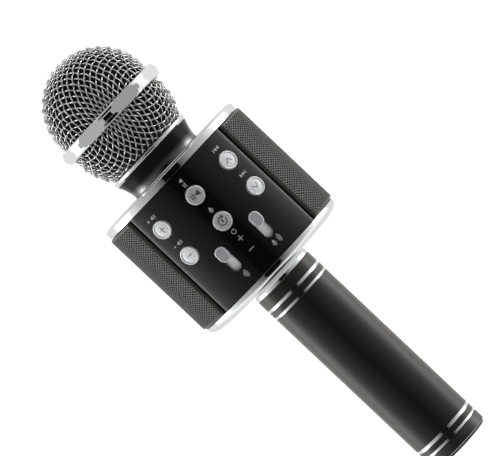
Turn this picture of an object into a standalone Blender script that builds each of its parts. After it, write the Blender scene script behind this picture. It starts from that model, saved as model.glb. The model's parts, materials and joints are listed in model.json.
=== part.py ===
"""Hand-held karaoke microphone: a handle, a drum with two speakers and a control panel, and a ball head.

The frame has its origin at the centre of the handle's flat end and +Z along the handle towards the head.
The front control panel faces -Y. An azimuth is measured from the front, -Y, towards +X.
"""

from math import asin, cos, pi, radians, sin, tan

import bmesh
import bpy

MM = 0.001
GAP = 0.3 * MM  # between two pieces that touch

# Handle, from the end up
HANDLE_RADIUS = 15.9 * MM
HANDLE_BORE_RADIUS = 14.0 * MM
HANDLE_TOP = 108.3 * MM
END_CAP_TOP = 5.8 * MM
END_CAP_EDGE = ((14.6 * MM, 0.0), (15.35 * MM, 0.7 * MM), (HANDLE_RADIUS, 1.4 * MM))  # radius, height
END_CAP_SPIGOT_TOP = 14.0 * MM
END_CAP_SPIGOT_BORE = 11.6 * MM
END_CAP_FLOOR = 7.0 * MM
GROOVE_DEPTH = 0.3 * MM
GROOVES = ((10.0 * MM, 11.5 * MM), (97.2 * MM, 98.3 * MM), (101.3 * MM, 102.7 * MM))
LOWEST_GROOVE_TOP = 7.3 * MM
COLLAR_TOP = 111.5 * MM
COLLAR_BEVEL = 1.45 * MM
SPIGOT_RADIUS = 13.6 * MM  # end cap and socket, inside the tube
SOCKET_BOTTOM = 92.0 * MM
SOCKET_BORE_RADIUS = 6.5 * MM
SOCKET_TONGUE_RADIUS = 8.6 * MM
SOCKET_TONGUE_TOP = 119.0 * MM
CELL_RADIUS = 9.1 * MM
CELL_BOTTOM = 20.0 * MM
CELL_LENGTH = 65.0 * MM
CELL_TIP_RADIUS = 3.0 * MM
CELL_TIP_HEIGHT = 1.0 * MM
TRAY_WALL = 3.0 * MM
TRAY_MOUTH = 4.0 * MM  # how far in front of the axis the tray is open

# Screws
SCREWS_PER_JOINT = 3
FIRST_SCREW_AZIMUTH = radians(16.0)
SOCKET_SCREW_CIRCLE = 11.4 * MM
NECK_SCREW_CIRCLE = 16.4 * MM
SCREW_SHANK_RADIUS = 0.9 * MM
SCREW_LENGTH = 7.0 * MM
SCREW_HEAD_RADIUS = 1.8 * MM
SCREW_HEAD_HEIGHT = 1.2 * MM
SCREW_HOLE_RADIUS = SCREW_SHANK_RADIUS + GAP
SCREW_SIDES = 10

# Drum
DRUM_BOTTOM = 112.2 * MM
DRUM_TOP = 179.2 * MM
PLATE_RADIUS = 40.1 * MM
PLATE_FLOOR = 2.2 * MM
BOTTOM_RIM_TOP = 117.0 * MM
TOP_RIM_BOTTOM = 175.1 * MM
BOTTOM_PLATE_EDGE = (  # radius, height
    (PLATE_RADIUS, 115.7 * MM), (39.5 * MM, 114.3 * MM), (37.9 * MM, 113.2 * MM), (35.0 * MM, 112.5 * MM))
TOP_PLATE_EDGE = ((PLATE_RADIUS, 178.1 * MM), (39.7 * MM, 178.7 * MM), (38.8 * MM, 179.0 * MM))
PLATE_FLAT_RADIUS = 30.0 * MM
BOTTOM_PLATE_BORE = 9.0 * MM
TOP_PLATE_BORE = 12.0 * MM
PANEL_RADIUS = 40.1 * MM
PANEL_THICKNESS = 1.6 * MM
PANEL_HALF_ANGLE = radians(44.0)
GRILLE_RADIUS = 41.0 * MM
GRILLE_THICKNESS = 0.8 * MM
GRILLE_START = radians(46.4)  # from the middle of the nearer panel
FRAME_RADIUS = 38.2 * MM
FRAME_BORE_RADIUS = 36.0 * MM
FRAME_BOTTOM = 115.9 * MM
RIM_BORE_RADIUS = FRAME_RADIUS + GAP
POST_AZIMUTHS = (radians(52.0), radians(128.0), radians(232.0), radians(308.0))
POST_HALF_ANGLE = radians(3.5)
DRUM_MIDDLE = (BOTTOM_RIM_TOP + TOP_RIM_BOTTOM) / 2
WINDOW_HALF_WIDTH = 24.5 * MM
WINDOW_MARGIN = 1.8 * MM  # above the bottom plate's rim

# Controls
BUTTON_RADIUS = 4.32 * MM
BUTTON_HEIGHT = 1.0 * MM  # above the panel
BUTTON_TRAVEL = 0.6 * MM
BUTTON_DISH_RADIUS = 3.3 * MM
BUTTON_DISH_DEPTH = 0.35 * MM
BUTTON_LIP_RADIUS = 3.7 * MM
BUTTON_FLANGE_RADIUS = 5.0 * MM
BUTTON_FLANGE_TOP = -2.3 * MM  # from the panel's surface
BUTTON_FLANGE_THICKNESS = 0.8 * MM
STEM_RADIUS = 1.25 * MM
BUTTON_AZIMUTH = radians(31.2)
UPPER_ROW = 162.2 * MM
LOWER_ROW = 145.9 * MM
SLIDER_AZIMUTH = radians(14.4)
SLOT_MIDDLE = 132.7 * MM
SLOT_LENGTH = 13.8 * MM
SLOT_WIDTH = 4.9 * MM
STALK_LENGTH = 7.1 * MM  # of the part of the knob that runs in the slot
STALK_WIDTH = 4.3 * MM
KNOB_LENGTH = 7.5 * MM
KNOB_WIDTH = 5.4 * MM
KNOB_BOTTOM = 0.3 * MM  # above the panel
KNOB_HEIGHT = 2.0 * MM
KNOB_OVERLAP = 0.5 * MM  # of the knob and its stalk
SLIDE_PLATE_RADIUS = 38.0 * MM  # distance of its outer face from the drum's axis
SLIDE_PLATE_THICKNESS = 0.8 * MM
SLIDE_PLATE_HALF_WIDTH = 3.2 * MM
SLIDE_TRAVEL = 6.4 * MM
LEVER_HALF_SIZES = (0.6 * MM, 1.5 * MM)
REAR_BUTTON_AZIMUTH = radians(14.0)
REAR_ROW = 160.0 * MM
CHARGE_ROW = 136.0 * MM
HEADPHONE_ROW = 125.5 * MM
CARD_ROW = 147.0 * MM
CUT_BELOW = -6.0 * MM  # ends of the cutters, from the panel's surface
CUT_ABOVE = 2.0 * MM

FRONT_BUTTONS = {  # azimuth, height
    "volume_up": (-BUTTON_AZIMUTH, UPPER_ROW),
    "volume_down": (-BUTTON_AZIMUTH, LOWER_ROW),
    "play": (0.0, UPPER_ROW),
    "replay": (0.0, LOWER_ROW),
    "previous": (BUTTON_AZIMUTH, UPPER_ROW),
    "next": (BUTTON_AZIMUTH, LOWER_ROW),
}
REAR_BUTTONS = {
    "power": (pi - REAR_BUTTON_AZIMUTH, REAR_ROW),
    "mode": (pi + REAR_BUTTON_AZIMUTH, REAR_ROW),
}
SLIDERS = {"echo": -SLIDER_AZIMUTH, "volume": SLIDER_AZIMUTH}

# Boards and speakers
MAIN_BOARD_FACE = 26.6 * MM  # in front of the drum's axis
REAR_BOARD_FACE = 31.0 * MM  # behind it
BOARD_THICKNESS = 1.6 * MM
BOARD_MARGIN = 2.5 * MM  # from the plates' rims
MAIN_BOARD_HALF_WIDTH = 22.0 * MM
REAR_BOARD_HALF_WIDTH = 15.0 * MM
SWITCH_HEIGHT = 3.0 * MM
SWITCH_WIDTH = 4.5 * MM
SWITCH_BODY_HEIGHT = 2.0 * MM
PLUNGER_RADIUS = 1.2 * MM
POT_DEPTH = 4.0 * MM
POT_HALF_WIDTH = 4.0 * MM
POT_HALF_LENGTH = 11.0 * MM
POT_SPREAD = 1.2  # how much wider apart than the slots' directions the potentiometers stand
SPEAKER_FACE = 28.8 * MM  # from the drum's axis
SPEAKER_RADIUS = 20.8 * MM
SPEAKER_HOLE_RADIUS = 19.0 * MM

# Neck and ball head
SHROUD_BASE_RADIUS = 19.0 * MM
SHROUD_TOP_RADIUS = 21.4 * MM
SHROUD_FOOT = DRUM_TOP + GAP
SHROUD_TOP = 188.5 * MM
SHROUD_NECK_TOP = 193.0 * MM
SHROUD_BORE_RADIUS = 14.2 * MM
SHROUD_FLARE_POWER = 1.8
THREAD_RADIUS = 17.0 * MM
THREAD_CLEARANCE = 0.5 * MM
SLEEVE_RADIUS = 19.0 * MM
SLEEVE_TOP = 194.0 * MM
NECK_RING_RADIUS = 21.9 * MM
NECK_RING_TOP = 190.7 * MM
NECK_RING_BEVEL = 0.4 * MM
BALL_RADIUS = 26.3 * MM
BALL_WALL = 1.0 * MM
LOWER_CENTRE = 207.0 * MM
UPPER_CENTRE = 219.2 * MM
EQUATOR = 213.3 * MM
OCTAGON_HEIGHT = 6.2 * MM
OCTAGON_RADIUS = 29.2 * MM  # at the corners, half way up
OCTAGON_EDGE_RADIUS = 28.4 * MM
OCTAGON_APOTHEM = 27.7 * MM
OCTAGON_TURN = radians(-2.5)  # azimuth of the front corner
FOAM_OUTER_RADIUS = BALL_RADIUS - BALL_WALL - 0.7 * MM
FOAM_WALL = 3.4 * MM
FOAM_BOTTOM = 194.3 * MM
HOLDER_TOP = 213.0 * MM
HOLDER_RADIUS = 8.7 * MM
HOLDER_BORE_RADIUS = 7.5 * MM
HOLDER_FLOOR = 205.0 * MM
HOLDER_PASSAGE_RADIUS = 5.0 * MM
HOLDER_FLANGE_RADIUS = 15.0 * MM
CAPSULE_RADIUS = 7.1 * MM
CAPSULE_TOP = 214.2 * MM
CAPSULE_BOTTOM = 205.4 * MM

SIDES = 28  # of the handle, the neck and the head
INNER_SIDES = 20
DRUM_SIDES = 36
SMALL_SIDES = 16
BUTTON_SIDES = 14

ORIGIN = (0.0, 0.0, 0.0)
LYING = (0.0, pi / 2, 0.0)  # rotation that takes local Z to +X


# ---------------------------------------------------------------- scene and materials

def clear_scene():
    for item in list(bpy.data.objects):
        bpy.data.objects.remove(item, do_unlink=True)


def make_material(name, colour, roughness, metallic=0.0):
    material = bpy.data.materials.new(name)
    material.use_nodes = True
    shader = material.node_tree.nodes["Principled BSDF"]
    shader.inputs["Base Color"].default_value = (*colour, 1.0)
    shader.inputs["Roughness"].default_value = roughness
    shader.inputs["Metallic"].default_value = metallic
    material.diffuse_color = (*colour, 1.0)
    return material


def make_materials():
    return {
        "coated_aluminium": make_material("coated_aluminium", (0.022, 0.021, 0.020), 0.42, 0.3),
        "chrome": make_material("chrome", (0.82, 0.83, 0.84), 0.08, 1.0),
        "button_chrome": make_material("button_chrome", (0.74, 0.75, 0.76), 0.22, 1.0),
        "gloss_black": make_material("gloss_black", (0.008, 0.008, 0.009), 0.12),
        "matte_black": make_material("matte_black", (0.018, 0.018, 0.018), 0.6),
        "grille_steel": make_material("grille_steel", (0.085, 0.085, 0.075), 0.45, 0.8),
        "mesh_wire": make_material("mesh_wire", (0.62, 0.62, 0.62), 0.25, 1.0),
        "slider_grey": make_material("slider_grey", (0.45, 0.45, 0.47), 0.4),
        "foam": make_material("foam", (0.008, 0.008, 0.008), 0.95),
        "battery_wrap": make_material("battery_wrap", (0.05, 0.16, 0.42), 0.4),
        "board_green": make_material("board_green", (0.02, 0.14, 0.05), 0.5),
        "plain_steel": make_material("plain_steel", (0.55, 0.55, 0.55), 0.3, 1.0),
        "speaker_paper": make_material("speaker_paper", (0.03, 0.03, 0.03), 0.85),
        "lens_clear": make_material("lens_clear", (0.75, 0.80, 0.85), 0.1),
    }


MATERIALS = {}


# ---------------------------------------------------------------- shape helpers

def add_object(name, bm, slot, location=ORIGIN, rotation=ORIGIN):
    bmesh.ops.recalc_face_normals(bm, faces=bm.faces)
    mesh = bpy.data.meshes.new(name)
    bm.to_mesh(mesh)
    bm.free()
    if slot:
        mesh.materials.append(MATERIALS[slot])
        mesh.shade_smooth()
        mesh.set_sharp_from_angle(angle=radians(30))
    made = bpy.data.objects.new(name, mesh)
    made.location = location
    made.rotation_euler = rotation
    bpy.context.scene.collection.objects.link(made)
    return made


def turned_mesh(profile, sides, start=0.0):
    """Turn a profile of (radius, height) points about Z. A profile that ends off the axis becomes a ring."""
    bm = bmesh.new()
    rings = []
    for radius, height in profile:
        if radius == 0.0:
            rings.append([bm.verts.new((0.0, 0.0, height))])
            continue
        ring = []
        for side in range(sides):
            turn = start + 2 * pi * side / sides
            ring.append(bm.verts.new((radius * sin(turn), -radius * cos(turn), height)))
        rings.append(ring)
    on_axis = profile[0][0] == 0.0 and profile[-1][0] == 0.0
    pairs = list(zip(rings, rings[1:]))
    if not on_axis:
        pairs.append((rings[-1], rings[0]))
    for upper, lower in pairs:
        for side in range(sides):
            after = (side + 1) % sides
            corners = [upper[side % len(upper)], lower[side % len(lower)]]
            if len(lower) > 1:
                corners.append(lower[after])
            if len(upper) > 1:
                corners.append(upper[after])
            bm.faces.new(corners)
    return bm


def turned(name, slot, profile, sides=SIDES, location=ORIGIN, rotation=ORIGIN, start=0.0):
    return add_object(name, turned_mesh(profile, sides, start), slot, location, rotation)


def extruded(name, slot, outline, low, high, location=ORIGIN, rotation=ORIGIN):
    """Extrude an outline of (x, y) points along Z from low to high."""
    bm = bmesh.new()
    base = [bm.verts.new((x, y, low)) for x, y in outline]
    top = [bm.verts.new((x, y, high)) for x, y in outline]
    bm.faces.new(base)
    bm.faces.new(top)
    count = len(outline)
    for index in range(count):
        after = (index + 1) % count
        bm.faces.new((base[index], base[after], top[after], top[index]))
    return add_object(name, bm, slot, location, rotation)


def rod(name, radius, low, high, sides, location=ORIGIN, rotation=ORIGIN):
    """A plain cylinder about local Z that is used to cut or to join."""
    profile = [(0.0, low), (radius, low), (radius, high), (0.0, high)]
    return turned(name, None, profile, sides, location, rotation)


def block(name, slot, low, high, location=ORIGIN, rotation=ORIGIN):
    outline = ((low[0], low[1]), (high[0], low[1]), (high[0], high[1]), (low[0], high[1]))
    return extruded(name, slot, outline, low[2], high[2], location, rotation)


def arc_outline(inner, outer, first, last, steps):
    """Outline, in the XY plane, of a wall between two radii and two azimuths."""
    turns = [first + (last - first) * step / steps for step in range(steps + 1)]
    outside = [(outer * sin(turn), -outer * cos(turn)) for turn in turns]
    inside = [(inner * sin(turn), -inner * cos(turn)) for turn in reversed(turns)]
    return outside + inside


def arc_wall(name, slot, inner, outer, first, last, low, high, steps):
    return extruded(name, slot, arc_outline(inner, outer, first, last, steps), low, high)


def stadium(width, length, steps=6):
    """Outline of a slot with round ends, longer along Y."""
    radius = width / 2
    straight = length / 2 - radius
    outline = []
    for middle, first in ((straight, 0.0), (-straight, pi)):
        for step in range(steps + 1):
            turn = first + pi * step / steps
            outline.append((radius * cos(turn), middle + radius * sin(turn)))
    return outline


def dome(radius, centre, low, high, steps):
    """Points on a sphere about (0, centre), from height high down to height low."""
    first = asin(min(1.0, (high - centre) / radius))
    last = asin((low - centre) / radius)
    points = []
    for step in range(steps + 1):
        rise = first + (last - first) * step / steps
        across = radius * cos(rise)
        points.append((0.0 if abs(rise - pi / 2) < 1e-6 else across, centre + radius * sin(rise)))
    return points


def tool(made):
    """Mark a solid as one that only cuts or joins another."""
    made.hide_render = True
    made.display_type = "WIRE"
    return made


def combine(target, other, operation):
    change = target.modifiers.new(operation.lower(), "BOOLEAN")
    change.operation = operation
    change.solver = "EXACT"
    change.object = tool(other)


def cut(target, *others):
    for other in others:
        combine(target, other, "DIFFERENCE")


def join(target, *others):
    for other in others:
        combine(target, other, "UNION")


def facing(azimuth):
    """Rotation that takes local Z outwards and local Y up at an azimuth."""
    return (pi / 2, 0.0, azimuth)


def on_drum(azimuth, distance, height):
    return (distance * sin(azimuth), -distance * cos(azimuth), height)


# ---------------------------------------------------------------- handle

def make_handle_tube():
    inset = HANDLE_RADIUS - GROOVE_DEPTH
    profile = [(HANDLE_RADIUS, HANDLE_TOP - GAP)]
    for low, high in reversed(GROOVES):
        profile += [(HANDLE_RADIUS, high), (inset, high), (inset, low), (HANDLE_RADIUS, low)]
    profile += [(HANDLE_RADIUS, LOWEST_GROOVE_TOP), (inset, LOWEST_GROOVE_TOP)]
    profile += [(inset, END_CAP_TOP + GAP), (HANDLE_BORE_RADIUS, END_CAP_TOP + GAP)]
    profile += [(HANDLE_BORE_RADIUS, HANDLE_TOP - GAP)]
    turned("handle_tube", "coated_aluminium", profile)


def make_end_cap():
    profile = [
        (0.0, 0.0),
        *END_CAP_EDGE,
        (HANDLE_RADIUS, END_CAP_TOP),
        (SPIGOT_RADIUS, END_CAP_TOP),
        (SPIGOT_RADIUS, END_CAP_SPIGOT_TOP),
        (END_CAP_SPIGOT_BORE, END_CAP_SPIGOT_TOP),
        (END_CAP_SPIGOT_BORE, END_CAP_FLOOR),
        (0.0, END_CAP_FLOOR),
    ]
    turned("end_cap", "coated_aluminium", profile)


def make_handle_collar():
    inner = SPIGOT_RADIUS + GAP
    profile = [
        (HANDLE_RADIUS, HANDLE_TOP),
        (HANDLE_RADIUS, COLLAR_TOP - COLLAR_BEVEL),
        (HANDLE_RADIUS - COLLAR_BEVEL, COLLAR_TOP),
        (inner, COLLAR_TOP),
        (inner, HANDLE_TOP),
    ]
    turned("handle_collar", "chrome", profile)


def screw_ring(radius):
    turns = [FIRST_SCREW_AZIMUTH + 2 * pi * number / SCREWS_PER_JOINT for number in range(SCREWS_PER_JOINT)]
    return [(radius * sin(turn), -radius * cos(turn)) for turn in turns]


def make_screws(name, circle, seat, direction):
    """Screws with heads on a seat height, their shanks running along direction, +1 up or -1 down."""
    for number, (x, y) in enumerate(screw_ring(circle), 1):
        head = -direction * SCREW_HEAD_HEIGHT
        profile = [
            (0.0, head),
            (SCREW_HEAD_RADIUS, head),
            (SCREW_HEAD_RADIUS, 0.0),
            (SCREW_SHANK_RADIUS, 0.0),
            (SCREW_SHANK_RADIUS, direction * SCREW_LENGTH),
            (0.0, direction * SCREW_LENGTH),
        ]
        turned(f"{name}_{number}", "plain_steel", profile, SCREW_SIDES, (x, y, seat))


def screw_holes(name, circle, low, high):
    return [
        rod(f"{name}_{number}", SCREW_HOLE_RADIUS, low, high, SCREW_SIDES, (x, y, 0.0))
        for number, (x, y) in enumerate(screw_ring(circle), 1)
    ]


def make_handle_socket():
    top = DRUM_BOTTOM - GAP
    profile = [
        (SOCKET_TONGUE_RADIUS, SOCKET_TONGUE_TOP),
        (SOCKET_TONGUE_RADIUS, top),
        (SPIGOT_RADIUS, top),
        (SPIGOT_RADIUS, SOCKET_BOTTOM),
        (SOCKET_BORE_RADIUS, SOCKET_BOTTOM),
        (SOCKET_BORE_RADIUS, SOCKET_TONGUE_TOP),
    ]
    socket = turned("handle_socket", "matte_black", profile, INNER_SIDES)
    seat = DRUM_BOTTOM + PLATE_FLOOR + GAP
    hole_end = seat - SCREW_LENGTH - 2 * GAP
    cut(socket, *screw_holes("socket_hole", SOCKET_SCREW_CIRCLE, hole_end, top + MM))
    make_screws("socket_screw", SOCKET_SCREW_CIRCLE, seat, -1)


def make_battery():
    top = CELL_BOTTOM + CELL_LENGTH
    cell = [
        (0.0, CELL_BOTTOM),
        (CELL_RADIUS, CELL_BOTTOM),
        (CELL_RADIUS, top - CELL_TIP_HEIGHT),
        (CELL_TIP_RADIUS, top - CELL_TIP_HEIGHT),
        (CELL_TIP_RADIUS, top),
        (0.0, top),
    ]
    turned("battery_cell", "battery_wrap", cell, INNER_SIDES)
    tray_profile = [
        (0.0, CELL_BOTTOM - TRAY_WALL),
        (SPIGOT_RADIUS - GAP, CELL_BOTTOM - TRAY_WALL),
        (SPIGOT_RADIUS - GAP, top + TRAY_WALL),
        (0.0, top + TRAY_WALL),
    ]
    tray = turned("battery_tray", "matte_black", tray_profile, INNER_SIDES)
    hollow = rod("battery_room", CELL_RADIUS + 2 * GAP, CELL_BOTTOM - GAP, top + GAP, INNER_SIDES)
    mouth = block(
        "battery_mouth", None,
        (-SPIGOT_RADIUS, -2 * SPIGOT_RADIUS, 0.0), (SPIGOT_RADIUS, -TRAY_MOUTH, HANDLE_TOP))
    cut(tray, hollow, mouth)


# ---------------------------------------------------------------- drum

def make_bottom_plate():
    floor = DRUM_BOTTOM + PLATE_FLOOR
    profile = [
        (PLATE_RADIUS, BOTTOM_RIM_TOP),
        *BOTTOM_PLATE_EDGE,
        (PLATE_FLAT_RADIUS, DRUM_BOTTOM),
        (BOTTOM_PLATE_BORE, DRUM_BOTTOM),
        (BOTTOM_PLATE_BORE, floor),
        (FRAME_BORE_RADIUS, floor),
        (RIM_BORE_RADIUS, FRAME_BOTTOM - GAP),
        (RIM_BORE_RADIUS, BOTTOM_RIM_TOP),
    ]
    plate = turned("bottom_plate", "chrome", profile, DRUM_SIDES)
    cut(plate, *screw_holes("bottom_plate_hole", SOCKET_SCREW_CIRCLE, DRUM_BOTTOM - MM, floor + MM))


def make_top_plate():
    roof = DRUM_TOP - PLATE_FLOOR
    profile = [
        (PLATE_RADIUS, TOP_RIM_BOTTOM),
        *TOP_PLATE_EDGE,
        (PLATE_FLAT_RADIUS, DRUM_TOP),
        (TOP_PLATE_BORE, DRUM_TOP),
        (TOP_PLATE_BORE, roof),
        (RIM_BORE_RADIUS, roof),
        (RIM_BORE_RADIUS, TOP_RIM_BOTTOM),
    ]
    plate = turned("top_plate", "chrome", profile, DRUM_SIDES)
    cut(plate, *screw_holes("top_plate_hole", NECK_SCREW_CIRCLE, roof - MM, DRUM_TOP + MM))


def make_drum_frame():
    high = DRUM_TOP - PLATE_FLOOR - GAP
    profile = [
        (FRAME_RADIUS, high),
        (FRAME_RADIUS, FRAME_BOTTOM),
        (FRAME_BORE_RADIUS, FRAME_BOTTOM),
        (FRAME_BORE_RADIUS, high),
    ]
    frame = turned("drum_frame", "matte_black", profile, DRUM_SIDES)
    post_low = BOTTOM_RIM_TOP + 2 * GAP
    post_high = TOP_RIM_BOTTOM - 2 * GAP
    post_radius = GRILLE_RADIUS - GRILLE_THICKNESS - GAP
    for number, middle in enumerate(POST_AZIMUTHS, 1):
        post = arc_wall(
            f"frame_post_{number}", None, FRAME_BORE_RADIUS + MM, post_radius,
            middle - POST_HALF_ANGLE, middle + POST_HALF_ANGLE, post_low, post_high, 2)
        join(frame, post)
    window = block(
        "frame_windows", None,
        (-WINDOW_HALF_WIDTH, -2 * FRAME_RADIUS, BOTTOM_RIM_TOP + WINDOW_MARGIN),
        (WINDOW_HALF_WIDTH, 2 * FRAME_RADIUS, TOP_RIM_BOTTOM - 2 * WINDOW_MARGIN))
    length = 2 * FRAME_RADIUS
    sound_holes = rod(
        "frame_sound_holes", SPEAKER_HOLE_RADIUS, -length, length, INNER_SIDES,
        (0.0, 0.0, DRUM_MIDDLE), LYING)
    cut(frame, window, sound_holes)


def button_hole(name, azimuth, height):
    return rod(
        f"{name}_hole", BUTTON_RADIUS + GAP, CUT_BELOW, CUT_ABOVE, SMALL_SIDES,
        on_drum(azimuth, PANEL_RADIUS, height), facing(azimuth))


def panel_wall(name, middle):
    return arc_wall(
        name, "gloss_black", PANEL_RADIUS - PANEL_THICKNESS, PANEL_RADIUS,
        middle - PANEL_HALF_ANGLE, middle + PANEL_HALF_ANGLE,
        BOTTOM_RIM_TOP + GAP, TOP_RIM_BOTTOM - GAP, 16)


def make_front_panel():
    panel = panel_wall("front_panel", 0.0)
    for name, (azimuth, height) in FRONT_BUTTONS.items():
        cut(panel, button_hole(name, azimuth, height))
    for name, azimuth in SLIDERS.items():
        slot = extruded(
            f"{name}_slot", None, stadium(SLOT_WIDTH, SLOT_LENGTH), CUT_BELOW, CUT_ABOVE,
            on_drum(azimuth, PANEL_RADIUS, SLOT_MIDDLE), facing(azimuth))
        cut(panel, slot)


def make_rear_panel():
    panel = panel_wall("rear_panel", pi)
    for name, (azimuth, height) in REAR_BUTTONS.items():
        cut(panel, button_hole(name, azimuth, height))
    openings = (
        ("charge_opening", stadium(3.4 * MM, 8.6 * MM), pi / 2, CHARGE_ROW),
        ("headphone_opening", stadium(5.4 * MM, 5.402 * MM), 0.0, HEADPHONE_ROW),
        ("card_opening", stadium(1.6 * MM, 12.4 * MM), pi / 2, CARD_ROW),
        ("lens_opening", stadium(2.6 * MM, 2.602 * MM), 0.0, REAR_ROW),
    )
    for name, outline, turn, height in openings:
        laid = [(x * cos(turn) - y * sin(turn), x * sin(turn) + y * cos(turn)) for x, y in outline]
        opening = extruded(
            name, None, laid, CUT_BELOW, CUT_ABOVE, on_drum(pi, PANEL_RADIUS, height), facing(pi))
        cut(panel, opening)


def make_grilles():
    for name, middle in (("right_grille", pi / 2), ("left_grille", -pi / 2)):
        reach = pi / 2 - GRILLE_START
        arc_wall(
            name, "grille_steel", GRILLE_RADIUS - GRILLE_THICKNESS, GRILLE_RADIUS,
            middle - reach, middle + reach, BOTTOM_RIM_TOP + GAP, TOP_RIM_BOTTOM - GAP, 14)


# ---------------------------------------------------------------- speakers

def make_speakers():
    face = SPEAKER_FACE
    basket = [
        (SPEAKER_RADIUS, face),
        (SPEAKER_RADIUS, face - 1.4 * MM),
        (18.2 * MM, face - 1.4 * MM),
        (12.9 * MM, face - 14.3 * MM),
        (12.9 * MM, face - 15.1 * MM),
        (5.0 * MM, face - 15.1 * MM),
        (5.0 * MM, face - 13.6 * MM),
        (11.8 * MM, face - 13.6 * MM),
        (17.2 * MM, face),
    ]
    cone = [
        (0.0, face - 6.2 * MM),
        (4.6 * MM, face - 7.8 * MM),
        (14.2 * MM, face - 2.0 * MM),
        (15.3 * MM, face - 0.8 * MM),
        (16.3 * MM, face - 1.4 * MM),
        (16.3 * MM, face - 2.0 * MM),
        (15.3 * MM, face - 1.6 * MM),
        (4.6 * MM, face - 8.8 * MM),
        (0.0, face - 7.0 * MM),
    ]
    magnet_face = face - 15.1 * MM - GAP
    magnet = [
        (0.0, magnet_face),
        (12.5 * MM, magnet_face),
        (12.5 * MM, magnet_face - 5.4 * MM),
        (0.0, magnet_face - 5.4 * MM),
    ]
    for side, turn in (("right", pi / 2), ("left", -pi / 2)):
        place = (0.0, 0.0, DRUM_MIDDLE)
        tilt = (0.0, turn, 0.0)
        turned(f"{side}_speaker_basket", "plain_steel", basket, SMALL_SIDES, place, tilt)
        turned(f"{side}_speaker_cone", "speaker_paper", cone, SMALL_SIDES, place, tilt)
        turned(f"{side}_speaker_magnet", "plain_steel", magnet, SMALL_SIDES, place, tilt)


# ---------------------------------------------------------------- boards, switches and sockets

def make_boards():
    low = BOTTOM_RIM_TOP + BOARD_MARGIN
    high = TOP_RIM_BOTTOM - BOARD_MARGIN
    half = MAIN_BOARD_HALF_WIDTH
    face = MAIN_BOARD_FACE
    block("main_board", "board_green", (-half, -face, low), (half, BOARD_THICKNESS - face, high))
    half = REAR_BOARD_HALF_WIDTH
    face = REAR_BOARD_FACE
    block("rear_board", "board_green", (-half, face - BOARD_THICKNESS, low), (half, face, high))


def switch_shape(name, location, rotation):
    """A square body with a low round plunger, which faces local Z."""
    half = SWITCH_WIDTH / 2
    top = SWITCH_BODY_HEIGHT
    switch = block(name, "matte_black", (-half, -half, GAP), (half, half, top), location, rotation)
    plunger = rod(
        f"{name}_plunger", PLUNGER_RADIUS, SWITCH_BODY_HEIGHT / 2, SWITCH_HEIGHT, 8, location, rotation)
    join(switch, plunger)


def stem_end(azimuth, board_face):
    """How far from the drum's axis a button's stem ends, so that its travel just fits above its switch."""
    lean = abs(sin(azimuth))
    upright = abs(cos(azimuth))
    plunger_top = board_face + SWITCH_HEIGHT
    return (plunger_top + STEM_RADIUS * lean + GAP / 2) / upright + BUTTON_TRAVEL


def make_switches():
    for name, (azimuth, height) in FRONT_BUTTONS.items():
        across = (MAIN_BOARD_FACE + SWITCH_HEIGHT) * tan(azimuth)
        switch_shape(f"{name}_switch", (across, -MAIN_BOARD_FACE, height), facing(0.0))
    for name, (azimuth, height) in REAR_BUTTONS.items():
        across = -(REAR_BOARD_FACE + SWITCH_HEIGHT) * tan(azimuth)
        switch_shape(f"{name}_switch", (across, REAR_BOARD_FACE, height), facing(pi))


def make_potentiometers():
    for name, azimuth in SLIDERS.items():
        across = MAIN_BOARD_FACE * tan(azimuth) * POT_SPREAD
        block(
            f"{name}_potentiometer", "plain_steel",
            (across - POT_HALF_WIDTH, -MAIN_BOARD_FACE - POT_DEPTH, SLOT_MIDDLE - POT_HALF_LENGTH),
            (across + POT_HALF_WIDTH, -MAIN_BOARD_FACE - GAP, SLOT_MIDDLE + POT_HALF_LENGTH))


def make_rear_sockets():
    near = REAR_BOARD_FACE + GAP
    far = PANEL_RADIUS - PANEL_THICKNESS - 2 * GAP
    charge = block(
        "charge_socket", "plain_steel",
        (-3.9 * MM, near, CHARGE_ROW - 1.5 * MM), (3.9 * MM, far, CHARGE_ROW + 1.5 * MM))
    charge_mouth = block(
        "charge_mouth", None,
        (-3.4 * MM, near + 1.5 * MM, CHARGE_ROW - MM), (3.4 * MM, far + MM, CHARGE_ROW + MM))
    cut(charge, charge_mouth)
    card = block(
        "card_socket", "plain_steel",
        (-6.6 * MM, near, CARD_ROW - 1.2 * MM), (6.6 * MM, far, CARD_ROW + 1.2 * MM))
    card_mouth = block(
        "card_mouth", None,
        (-5.8 * MM, near + 1.5 * MM, CARD_ROW - 0.6 * MM), (5.8 * MM, far + MM, CARD_ROW + 0.6 * MM))
    cut(card, card_mouth)
    jack = block(
        "headphone_socket", "matte_black",
        (-3.2 * MM, near, HEADPHONE_ROW - 3.2 * MM), (3.2 * MM, far, HEADPHONE_ROW + 3.2 * MM))
    bore_radius = 1.8 * MM
    depth = far - near - 1.2 * MM
    jack_bore = rod(
        "headphone_bore", bore_radius, -depth, MM, 12, on_drum(pi, far, HEADPHONE_ROW), facing(pi))
    cut(jack, jack_bore)


def make_status_lens():
    lens = [
        (0.0, -0.1 * MM),
        (1.0 * MM, -0.1 * MM),
        (1.0 * MM, -2.2 * MM),
        (1.8 * MM, -2.2 * MM),
        (1.8 * MM, -3.2 * MM),
        (0.0, -3.2 * MM),
    ]
    turned("status_lens", "lens_clear", lens, 12, on_drum(pi, PANEL_RADIUS, REAR_ROW), facing(pi))


# ---------------------------------------------------------------- moving controls

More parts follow.
